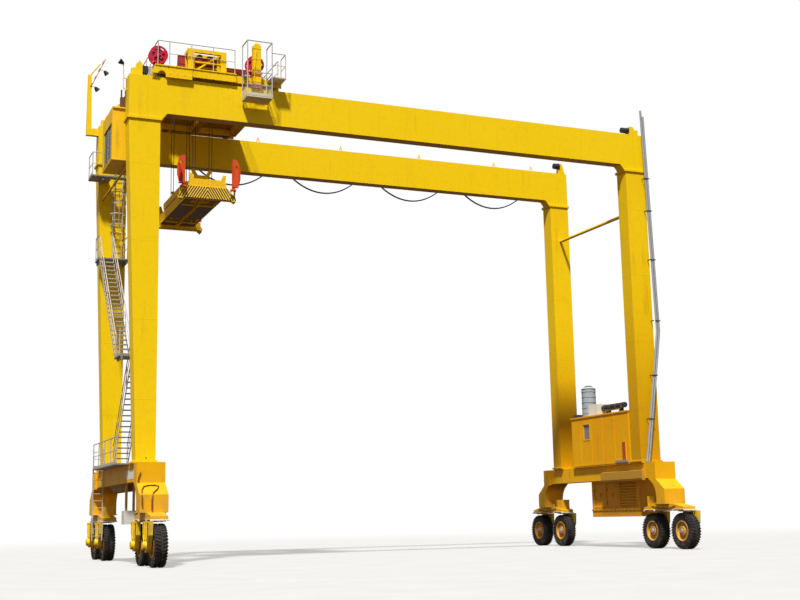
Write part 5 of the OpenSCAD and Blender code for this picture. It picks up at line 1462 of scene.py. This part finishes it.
class CRANE_OT_lamps(bpy.types.Operator):
    """Lamp bodies with ribs and lenses, and the banded arm of the mast"""
    bl_idname = "gantry_crane.lamps"
    bl_label = "Lamps"

    def execute(self, context):
        bodies, lenses = Shape(), Shape()
        length, r0, r1, rib_count = 0.19, 0.05, 0.115, 5
        profile = [(-0.012, r0 * 0.7), (0.0, r0 + 0.004)]
        for i in range(1, rib_count + 1):
            t = i / (rib_count + 1)
            r = r0 + (r1 - r0) * t + 0.004
            profile += [(length * (t - 0.03), r), (length * (t - 0.03), r + 0.008),
                        (length * (t + 0.03), r + 0.009), (length * (t + 0.03), r + 0.001)]
        profile += [(length, r1 + 0.004), (length + 0.012, r1 + 0.006),
                    (length + 0.012, r1 - 0.010), (length + 0.002, r1 - 0.010)]
        lens = [(length + 0.003, r1 - 0.012), (length + 0.008, r1 * 0.7), (length + 0.010, 0.01)]
        for place, degrees in (((-1.51, 7.385, 21.64), 140), ((-1.10, 7.385, 22.48), 140),
                               ((-1.48, NEAR_LEGS_Y, 20.27), -60)):
            for shape, outline in ((bodies, profile), (lenses, lens)):
                since = len(shape.mesh.verts)
                shape.lathe(place, "Z", outline)
                shape.lean(place, "Y", degrees, since)
        bodies.piece("lamp_bodies", "seal", "portal", 30)
        lenses.piece("lamp_lenses", "lens", "portal", 40)
        low, high = Vector((-1.70, 7.37, 21.67)), Vector((-1.06, 7.41, 23.10))
        arm = Shape().tube([low.lerp(high, t) for t in (0.0, 0.5, 0.985)], 0.0345, 16)
        arm.piece("banded_arm", "arm", "portal", 40)
        return {"FINISHED"}


class CRANE_OT_leg_cables(bpy.types.Operator):
    """Hoses and bare plate of the left side, and the unit on the cab roof"""
    bl_idname = "gantry_crane.leg_cables"
    bl_label = "Hoses and plates"

    def execute(self, context):
        boxes("cab_roof_unit", "soil", "trolley",
              [((-1.46, 1.02, 18.612), (-1.21, 1.185, 19.06)),
               ((-1.445, 1.05, 19.055), (-1.385, 1.11, 19.38)),
               ((-1.275, 1.05, 19.055), (-1.225, 1.11, 19.38))], 0.004)
        boxes("bare_plate", "white", "portal",
              [((-0.8335, -0.10, 3.32), (-0.8275, 1.60, 3.68))], 0.0, 0.0015)
        hose = Shape()
        hose.tube([(-0.84, -1.735, 2.25), (-0.85, -1.735, 2.58), (-0.80, -1.47, 2.87),
                   (-0.70, -1.32, 2.98), (-0.54, -1.26, 3.02), (-0.30, -1.25, 3.03),
                   (-0.14, -1.30, 2.99), (-0.21, -1.45, 2.88), (-0.41, -1.65, 2.74),
                   (-0.47, -1.735, 2.46), (-0.47, -1.735, 2.07)], 0.027, 10)
        hose.tube([(-0.79, -1.11, 3.53), (-0.86, -1.12, 3.34), (-0.90, -1.12, 3.13)], 0.018, 8)
        hose.piece("post_hoses", "hose", "portal", 50)
        return {"FINISHED"}


class CRANE_OT_hoist_machinery(bpy.types.Operator):
    """Rope turns on the drum, motor fins, gearbox ribs, cabinet doors and bolts"""
    bl_idname = "gantry_crane.hoist_machinery"
    bl_label = "Hoist machinery"

    def execute(self, context):
        turns = context.scene.crane_fittings.rope_turns
        x, y, z, deck = HOIST_X, HOIST_Y, DRUM_Z, DECK_TOP
        drum_half, lean_back = 2.2, -math.pi / 2
        for name, start in (("near", y - drum_half + 0.18), ("far", y + 0.12)):
            RECIPES["turns"].make(name + "_rope_turns", "rope", "trolley", {
                "Turns": float(turns), "Radius": 0.4845, "Length": 1.9, "Rope": ROPE_RADIUS,
                "Turn": (lean_back, 0.0, 0.0), "Centre": tuple(dr(x, start, z))}, smooth=50)
        gear_y = y - drum_half - 0.24
        fins = [ring_of("lugs", "fin_row", "machine", "trolley", place, radius, count, size,
                        axis=axis)
                for place, radius, count, size, axis in (
                    ((x + 1.23, gear_y - 0.29, deck + 0.43), 0.268, 28, (0.95, 0.012, 0.03), "X"),
                    ((x - 1.13, gear_y + 5.2, deck + 0.33), 0.238, 24, (0.7, 0.010, 0.026), "X"),
                    ((1.695, 0.51, 20.93), 0.140, 20, (0.36, 0.008, 0.016), "Y"),
                    ((2.225, 0.38, 20.92), 0.130, 20, (0.34, 0.008, 0.016), "X"))]
        merged("motor_fins", "machine", "trolley", fins)
        gear = Shape()
        for dx in (-0.60, -0.20, 0.20, 0.50):
            gear.box((x + dx, gear_y - 0.575, deck), (x + dx + 0.03, gear_y - 0.56, deck + 0.74))
        gear.box((x - 0.665, gear_y - 0.58, deck + 0.36), (x + 0.585, gear_y, deck + 0.40), 0.006)
        gear.box((x + 0.25, gear_y - 0.40, deck + 0.76), (x + 0.45, gear_y - 0.20, deck + 0.81),
                 0.01)
        gear.piece("gearbox_ribs", "machine", "trolley", None, 0.003)
        joint = [(x + dx, gear_y + dy, deck + 0.40) for dx in along(-0.62, 0.55, 0.13)
                 for dy in (-0.57, -0.01)]
        bolt_field("gearbox_bolts", joint, [UP] * len(joint), "trolley", 0.028)
        doors = [((0.055, 2.495, deck + 0.85), (0.815, 5.205, deck + 0.905)),
                 ((3.7, 1.2, deck + 0.66), (4.72, 3.605, deck + 0.715))]
        doors += [((0.048, q, deck + 0.10), (0.06, q + 0.5, deck + 0.80)) for q in (2.9, 3.8, 4.7)]
        doors += [((4.705, q, deck + 0.08), (4.722, q + 0.6, deck + 0.62))
                  for q in (1.35, 2.1, 2.85)]
        boxes("trolley_cabinet_doors", "cabinet", "trolley", doors, 0.003, 0.004)
        caps = Shape()
        for s in (-1, 1):
            for q in (-0.061, 0.0485):
                caps.turned_ring((x, y + s * (drum_half + 0.17) + q, z), "Y",
                                 [(0.0, 0.093), (0.0, 0.13), (0.0125, 0.13), (0.0125, 0.093)],
                                 32)
        caps.piece("bearing_caps", "machine", "trolley", 35)
        flanges = [ring_of("ring_bolts", "drum_flange_bolts", "dark_steel", "trolley",
                           (x, y + s * drum_half, z), 0.40, 18, (0.018, 0.0, 0.03), axis="Y",
                           lean=SIDEWAYS) for s in (-1, 1)]
        merged("drum_bolts", "dark_steel", "trolley", flanges)
        return {"FINISHED"}


class CRANE_OT_trolley_deck(bpy.types.Operator):
    """Axle plates, bolts, winch post bands, basket mesh and side grating of the trolley"""
    bl_idname = "gantry_crane.trolley_deck"
    bl_label = "Trolley deck"

    def execute(self, context):
        left_wheel, right_wheel = -0.04, 4.76
        bolts, turns = [], []
        plates = Shape()
        for side, y in RAILS_Y.items():
            for s in (-1, 1):
                hidden = (side == "near") == (s < 0)
                for wheel in ((right_wheel,) if hidden else (left_wheel, right_wheel)):
                    plates.lathe((wheel, y + s * 0.21, 19.9903), "Y",
                                 [(0.0, 0.085), (s * 0.012, 0.085), (s * 0.018, 0.06)], 24)
                    for dx in (-0.12, 0.12):
                        for dz in (-0.05, -0.12):
                            bolts.append((wheel + dx, y + s * 0.21, DECK_TOP + dz))
                            turns.append(TO_FAR if s > 0 else TO_NEAR)
        plates.piece("axle_plates", "trolley", "trolley", 35)
        for s, y, turn in ((-1, -0.14, TO_NEAR), (1, 7.90, TO_FAR)):
            row = [(x, y if x > 1.3 else y + s * 0.02, 19.89) for x in along(0.35, 3.05, 0.30)]
            row += [(x, y + s * 0.03, DECK_TOP - 0.025) for x in along(-0.10, 3.05, 0.35)]
            bolts += row
            turns += [turn] * len(row)
        bolt_field("trolley_plate_bolts", bolts, turns, "trolley", 0.030, "trolley")
        post = Shape()
        for z in (19.92, 20.42, 20.92, 21.40):
            post.box((3.835, -0.34, z), (4.195, -0.08, z + 0.035), 0.006)
        post.lathe((4.015, -0.21, 21.64), "Z", [(0.0, 0.05), (0.05, 0.045), (0.09, 0.02)], 20)
        post.tube([(3.90, -0.345, 19.86), (3.90, -0.36, 20.3), (3.93, -0.36, 20.9),
                   (3.97, -0.345, 21.3)], 0.016, 8)
        post.piece("winch_post_bands", "trolley", "trolley", 35)
        mesh_pitch, wire = 0.055, (0.006, 0.006, 0.50)
        tray = [bar_row("tray_wires", "basket", "trolley", start, step, count, size)
                for start, step, count, size in (
                    ((3.43, -0.925, 19.34), (mesh_pitch, 0, 0), 20, wire),
                    ((3.42, -0.90, 19.34), (0, mesh_pitch, 0), 14, wire),
                    ((4.49, -0.90, 19.34), (0, mesh_pitch, 0), 14, wire),
                    ((3.955, -0.925, 19.13), (0, 0, 0.08), 6, (1.07, 0.005, 0.005)))]
        merged("basket_mesh", "basket", "trolley", tray)
        boxes("basket_toe_boards", "basket", "trolley", [
            ((3.396, -0.956, 19.09), (4.514, -0.948, 19.22)),
            ((3.389, -0.95, 19.09), (3.397, -0.135, 19.22)),
            ((4.513, -0.95, 19.09), (4.521, -0.135, 19.22))])
        bar_row("side_platform_grating", "grating", "trolley", (4.60, -0.285, 20.146),
                (0.05, 0, 0), 12, (0.006, 0.64, 0.012))
        return {"FINISHED"}


class CRANE_OT_cable_reels(bpy.types.Operator):
    """Wound cable, rims and bolts of the two reels"""
    bl_idname = "gantry_crane.cable_reels"
    bl_label = "Cable reels"

    def execute(self, context):
        for name, x, y, z in (("left_reel", -0.11, 0.15, 20.71),
                              ("right_reel", 4.06, 0.25, 20.88)):
            profile = []
            for layer in range(9):
                level = -0.118 + layer * 0.0295
                profile += [(level - 0.010, 0.250), (level, 0.262), (level + 0.010, 0.250)]
            wound = Shape().turned_ring((x, y, z), "Y",
                                        [(-0.132, 0.16), *profile, (0.132, 0.16)], 40)
            wound.piece(name + "_cable", "reel_cable", "trolley", 30)
            parts = [ring_of("ring_bolts", "reel_bolts", "dark_steel", "trolley",
                             (x, y + s * 0.165, z), radius, 12, (0.010, 0.0, 0.014), axis="Y",
                             lean=SIDEWAYS) for s in (-1, 1) for radius in (0.345, 0.105)]
            merged(name + "_bolts", "dark_steel", "trolley", parts)
            rims = Shape()
            for s in (-1, 1):
                rims.turned_ring((x, y + s * 0.15, z), "Y",
                                 [(-0.021, 0.366), (-0.021, 0.3835), (0.021, 0.3835),
                                  (0.021, 0.366)], 56)
            rims.piece(name + "_rims", "red", "trolley", 35)
        return {"FINISHED"}


class CRANE_OT_cab_fittings(bpy.types.Operator):
    """Window seals, handle, trims and the plain seat and console inside"""
    bl_idname = "gantry_crane.cab_fittings"
    bl_label = "Cab fittings"

    def execute(self, context):
        frame_bar, cab_height, sash, lip = 0.06, 2.2, 0.024, -0.028
        low, high = corners("cab_shell")
        a = Vector(map(nominal, (low.x, low.y + frame_bar, low.z)))
        b = Vector(map(nominal, (high.x - frame_bar, high.y - frame_bar, low.z + cab_height)))
        seals = Shape()
        for axis, level, first, second, depth in (
                ("X", a.x + sash, (a.y + 0.182, a.z + 0.132), (b.y - 0.352, b.z - 0.602), 0.01),
                ("X", b.x - sash, (a.y + 0.142, a.z + 0.422), (b.y - 0.142, b.z - 0.162), -0.01),
                ("Y", b.y - sash, (a.x + 1.002, a.z + 0.702), (b.x - 0.142, b.z - 0.162), -0.01),
                ("Y", b.y - sash, (a.x + 0.162, a.z + 0.102), (a.x + 0.858, b.z - 0.162), -0.01),
                ("Y", a.y + sash, (a.x + 1.252, a.z + 0.802), (b.x - 0.142, b.z - 0.162), 0.01)):
            wall_frame(seals, axis, level, first, second, lip, depth)
        for y in (1.75, 2.40):
            seals.box((a.x + 0.014, y, a.z + 0.135), (a.x + 0.022, y + 0.03, b.z - 0.605))
        seals.piece("window_seals", "seal", "trolley")
        handle_x = a.x + 0.78
        handle = Shape().tube([(handle_x, b.y, a.z + 0.95), (handle_x, b.y - 0.012, a.z + 0.96),
                               (handle_x, b.y - 0.012, a.z + 1.20),
                               (handle_x, b.y, a.z + 1.21)], 0.009, 8)
        handle.piece("cab_handle", "steel", "trolley", 40)
        seat, mid = a.x + 0.75, (a.y + b.y) / 2
        boxes("cab_console", "dark_steel", "trolley", [
            ((seat - 0.20, mid - 0.22, a.z + 0.062), (seat + 0.16, mid + 0.22, a.z + 0.42)),
            ((seat - 0.26, mid - 0.27, a.z + 0.42), (seat + 0.24, mid + 0.27, a.z + 0.52)),
            ((seat - 0.30, mid - 0.27, a.z + 0.50), (seat - 0.20, mid + 0.27, a.z + 1.15)),
            ((seat - 0.10, mid - 0.62, a.z + 0.062), (seat + 0.26, mid - 0.36, a.z + 0.72)),
            ((seat - 0.10, mid + 0.36, a.z + 0.062), (seat + 0.26, mid + 0.62, a.z + 0.72)),
            ((a.x + 0.10, a.y + 0.10, a.z + 0.062), (a.x + 0.45, a.y + 0.55, a.z + 1.20)),
        ], 0.006, 0.02)
        boxes("cab_roof_trim", "cab", "trolley", [
            ((a.x + 0.05, a.y, b.z + 0.06), (b.x, a.y + 0.03, b.z + 0.09)),
            ((a.x + 0.05, b.y - 0.03, b.z + 0.06), (b.x, b.y, b.z + 0.09)),
            ((a.x - 0.012, a.y + 0.14, a.z + 0.09), (a.x, b.y - 0.31, a.z + 0.12)),
            ((a.x - 0.012, a.y + 0.14, b.z - 0.59), (a.x, b.y - 0.31, b.z - 0.56))], 0.003)
        return {"FINISHED"}


class CRANE_OT_rope_fittings(bpy.types.Operator):
    """Sheave rims and bolts of the headblock"""
    bl_idname = "gantry_crane.rope_fittings"
    bl_label = "Headblock fittings"

    def execute(self, context):
        sheave_radius = 0.2
        out = ROPE_OUT - sheave_radius - ROPE_RADIUS - 0.0005
        rims = Shape()
        for y in ROPES_Y:
            for s in (-1, 1):
                for q in (-1, 1):
                    rims.turned_ring((HOIST_X + s * out, y + q * 0.0355, SHEAVE_Z), "Y",
                                     [(-0.0045, 0.196), (-0.0045, 0.218), (0.0045, 0.218),
                                      (0.0045, 0.196)], 36)
        rims.piece("sheave_rims", "dark_steel", "spreader", 30)
        bolts = [(HOIST_X + s * 0.66, y, 15.93) for y in along(1.95, 5.85, 0.28)
                 for s in (-1, 1)]
        bolt_field("headblock_bolts", bolts, [UP] * len(bolts), "spreader", 0.036)
        return {"FINISHED"}


class CRANE_OT_spreader_fittings(bpy.types.Operator):
    """Twistlocks with their bolts, end ribs and hoses of the spreader"""
    bl_idname = "gantry_crane.spreader_fittings"
    bl_label = "Spreader fittings"

    def execute(self, context):
        x, z = HOIST_X, BEAM_BASE
        corner_out = 1.13
        for end, s in (("near", 1), ("far", -1)):
            body, y = end + "_end", BEAM_Y[end]
            tips = Shape()
            for q in (-1, 1):
                cx, cy = x + q * corner_out, y + s * 0.09
                tips.lathe((cx, cy, z - BEAM_FOOT), "Z",
                           [(0.0, 0.012), (0.010, 0.028), (0.035, 0.0345), (0.05, 0.0345)], 20)
                tips.box((cx - 0.05, cy - 0.028, z - 0.055), (cx + 0.05, cy + 0.028, z - 0.02),
                         0.012)
            tips.piece(end + "_twistlocks", "steel", body, 35)
            bolts = [(x + q * corner_out + dx, y, z + 0.095 + dz) for q in (-1, 1)
                     for dx in (-0.06, 0.06) for dz in (-0.03, 0.03)]
            bolt_field(end + "_lock_bolts", bolts, [TO_NEAR if s > 0 else TO_FAR] * len(bolts),
                       body, 0.022)
            boxes(end + "_end_ribs", "trolley", body, [
                ((x + q - 0.01, y + min(s * 0.06, s * 0.30), 15.47),
                 (x + q + 0.01, y + max(s * 0.06, s * 0.30), 15.76))
                for q in (-0.5, -0.25, 0.25, 0.5)])
        hoses = Shape()
        for q in (-0.12, 0.0, 0.12):
            hoses.tube([(x + q, 1.45, 15.545), (x + q, 2.4, 15.556), (x + q, 3.6, 15.545)],
                       0.014, 8)
        hoses.piece("spreader_hoses", "black_cable", "spreader", 40)
        return {"FINISHED"}


class CRANE_OT_hoist_ropes(bpy.types.Operator):
    """Laid wire ropes from the drum down to the sheaves"""
    bl_idname = "gantry_crane.hoist_ropes"
    bl_label = "Hoist ropes"

    def execute(self, context):
        levels, seat = 24, 0.3
        ropes = Shape()
        for y in ROPES_Y:
            for s in (-1, 1):
                ropes.tube([(HOIST_X + s * ROPE_OUT, y, DRUM_Z + (SHEAVE_Z - DRUM_Z) * i / levels)
                            for i in range(levels + 1)], ROPE_RADIUS)
        bmesh.ops.recalc_face_normals(ropes.mesh, faces=ropes.mesh.faces)
        mesh = bpy.data.meshes.new("hoist_rope_falls")
        ropes.mesh.to_mesh(mesh)
        ropes.mesh.free()
        mesh.materials.append(FINISHES["rope"])
        mesh.polygons.foreach_set("use_smooth", [True] * len(mesh.polygons))
        mesh.set_sharp_from_angle(angle=math.radians(50))
        falls = bpy.data.objects.new("hoist_rope_falls", mesh)
        bpy.context.scene.collection.objects.link(falls)
        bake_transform(falls)
        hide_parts("hoist_ropes")
        return {"FINISHED"}


CAMERA_PLACE = (-10.194, -47.937, 1.654)
CAMERA_YAW = math.radians(23.396)
CAMERA_PITCH = math.radians(10.073)
CAMERA_ROLL = math.radians(-1.158)
SENSOR_WIDTH = 36.0
FOCAL_PIXELS = 1221.37
PHOTO_WIDTH = 800.0
SUN_TOWARD = Vector((-0.297, -0.457, 0.839))
SUN_STRENGTH = 5.2
FILL_STRENGTH = 0.28
WHITE = (1.0, 1.0, 1.0)


class CRANE_OT_stage(bpy.types.Operator):
    """Camera at the photograph's angle, soft light and a pale floor"""
    bl_idname = "gantry_crane.stage"
    bl_label = "Stage"

    def execute(self, context):
        scene = context.scene
        camera = bpy.data.cameras.new("photo_camera")
        camera.lens = FOCAL_PIXELS * SENSOR_WIDTH / PHOTO_WIDTH
        camera.sensor_width = SENSOR_WIDTH
        camera.clip_end = 2000.0
        holder = bpy.data.objects.new("photo_camera", camera)
        scene.collection.objects.link(holder)
        right = Vector((math.cos(CAMERA_YAW), -math.sin(CAMERA_YAW), 0.0))
        ahead = Vector((math.sin(CAMERA_YAW) * math.cos(CAMERA_PITCH),
                        math.cos(CAMERA_YAW) * math.cos(CAMERA_PITCH), math.sin(CAMERA_PITCH)))
        up = right.cross(ahead)
        c, s = math.cos(CAMERA_ROLL), math.sin(CAMERA_ROLL)
        right, up = right * c + up * s, up * c - right * s
        turn = Matrix((right, up, -ahead)).transposed().to_4x4()
        holder.matrix_world = Matrix.Translation(dr(*CAMERA_PLACE)) @ turn
        scene.camera = holder

        sun = bpy.data.lights.new("soft_sun", "SUN")
        sun.energy = SUN_STRENGTH
        sun.angle = math.radians(5.0)
        sun.color = (1.0, 0.97, 0.92)
        lamp = bpy.data.objects.new("soft_sun", sun)
        lamp.rotation_euler = SUN_TOWARD.to_track_quat("Z", "Y").to_euler()
        scene.collection.objects.link(lamp)

        scene.world = bpy.data.worlds.new("studio")
        world = ShaderTree(scene.world)
        seen = world.add("ShaderNodeLightPath", output="Is Camera Ray").larger(
            world.add("ShaderNodeLightPath", output="Is Transmission Ray"))
        fill = world.add("ShaderNodeBackground", {}, {"Color": WHITE, "Strength": FILL_STRENGTH})
        backdrop = world.add("ShaderNodeBackground", {}, {"Color": WHITE, "Strength": 1.0})
        mixed = world.add("ShaderNodeMixShader", {}, {0: seen, 1: fill, 2: backdrop})
        world.feed(world.tree.nodes.new("ShaderNodeOutputWorld").inputs["Surface"], mixed)

        ground = bmesh.new()
        steps = 64
        hub = ground.verts.new((0.0, 0.0, 0.0))
        previous = None
        for radius in (30.0, 60.0, 120.0, 400.0):
            ring = [ground.verts.new((radius * math.cos(2 * math.pi * i / steps),
                                      radius * math.sin(2 * math.pi * i / steps), 0.0))
                    for i in range(steps)]
            for i in range(steps):
                j = (i + 1) % steps
                if previous is None:
                    ground.faces.new((hub, ring[i], ring[j]))
                else:
                    ground.faces.new((previous[i], ring[i], ring[j], previous[j]))
            previous = ring
        data = bpy.data.meshes.new("floor")
        ground.to_mesh(data)
        ground.free()
        floor = bpy.data.objects.new("floor", data)
        scene.collection.objects.link(floor)
        finish = Finish("floor_finish", roughness=0.85, specular=0.2)
        grain = finish.noise(0.6, 4.0)
        seen = finish.add("ShaderNodeLightPath", output="Is Camera Ray")
        pale = finish.tint(grain.between(0.3, 0.7), (0.50, 0.50, 0.50), (0.55, 0.55, 0.54))
        finish.set("Base Color", finish.tint(seen, (0.14, 0.10, 0.07), pale))
        reach = finish.add("ShaderNodeVectorMath", {"operation": "LENGTH"},
                           {0: finish.place()}, output=1)
        share = reach.between(26.0, 75.0, 0.45, 1.0) * seen
        glow = finish.add("ShaderNodeEmission", {}, {"Strength": 1.0})
        matt = Signal(finish, finish.shader.outputs[0])
        mixed = finish.add("ShaderNodeMixShader", {}, {0: share, 1: matt, 2: glow})
        finish.feed(finish.output.inputs[0], mixed)
        data.materials.append(finish.material)
        scene.view_settings.view_transform = "Standard"
        return {"FINISHED"}


class CRANE_PT_dressing(bpy.types.Panel):
    """Lists the crane's sizes, colours and steps"""
    bl_idname = "CRANE_PT_dressing"
    bl_label = "Gantry crane"
    bl_space_type = "VIEW_3D"
    bl_region_type = "UI"
    bl_category = "Gantry crane"

    def draw(self, context):
        layout = self.layout
        for group in (context.scene.crane_paint, context.scene.crane_fittings):
            box = layout.box()
            for name in group.__annotations__:
                box.prop(group, name)
        for operator in STEPS:
            layout.operator(operator.bl_idname)


STEPS = (
    CRANE_OT_finish_steelwork,
    CRANE_OT_stage,
    CRANE_OT_flange_bolts,
    CRANE_OT_rail_clips,
    CRANE_OT_tyres,
    CRANE_OT_running_gear,
    CRANE_OT_generator_fittings,
    CRANE_OT_house_fittings,
    CRANE_OT_walkways,
    CRANE_OT_festoon,
    CRANE_OT_lamps,
    CRANE_OT_leg_cables,
    CRANE_OT_hoist_machinery,
    CRANE_OT_trolley_deck,
    CRANE_OT_cable_reels,
    CRANE_OT_cab_fittings,
    CRANE_OT_rope_fittings,
    CRANE_OT_spreader_fittings,
    CRANE_OT_hoist_ropes,
)
GROUPS = (CranePaint, CraneFittings)


def register():
    """Registers the classes and the two property groups."""
    for kind in (*GROUPS, *STEPS, CRANE_PT_dressing):
        bpy.utils.register_class(kind)
    bpy.types.Scene.crane_paint = PointerProperty(type=CranePaint)
    bpy.types.Scene.crane_fittings = PointerProperty(type=CraneFittings)


def unregister():
    """Removes the property groups and the classes."""
    del bpy.types.Scene.crane_fittings
    del bpy.types.Scene.crane_paint
    for kind in reversed((*GROUPS, *STEPS, CRANE_PT_dressing)):
        bpy.utils.unregister_class(kind)


def main():
    """Runs every step in order."""
    register()
    for operator in STEPS:
        group, name = operator.bl_idname.split(".")
        getattr(getattr(bpy.ops, group), name)()


if __name__ == "__main__":
    main()
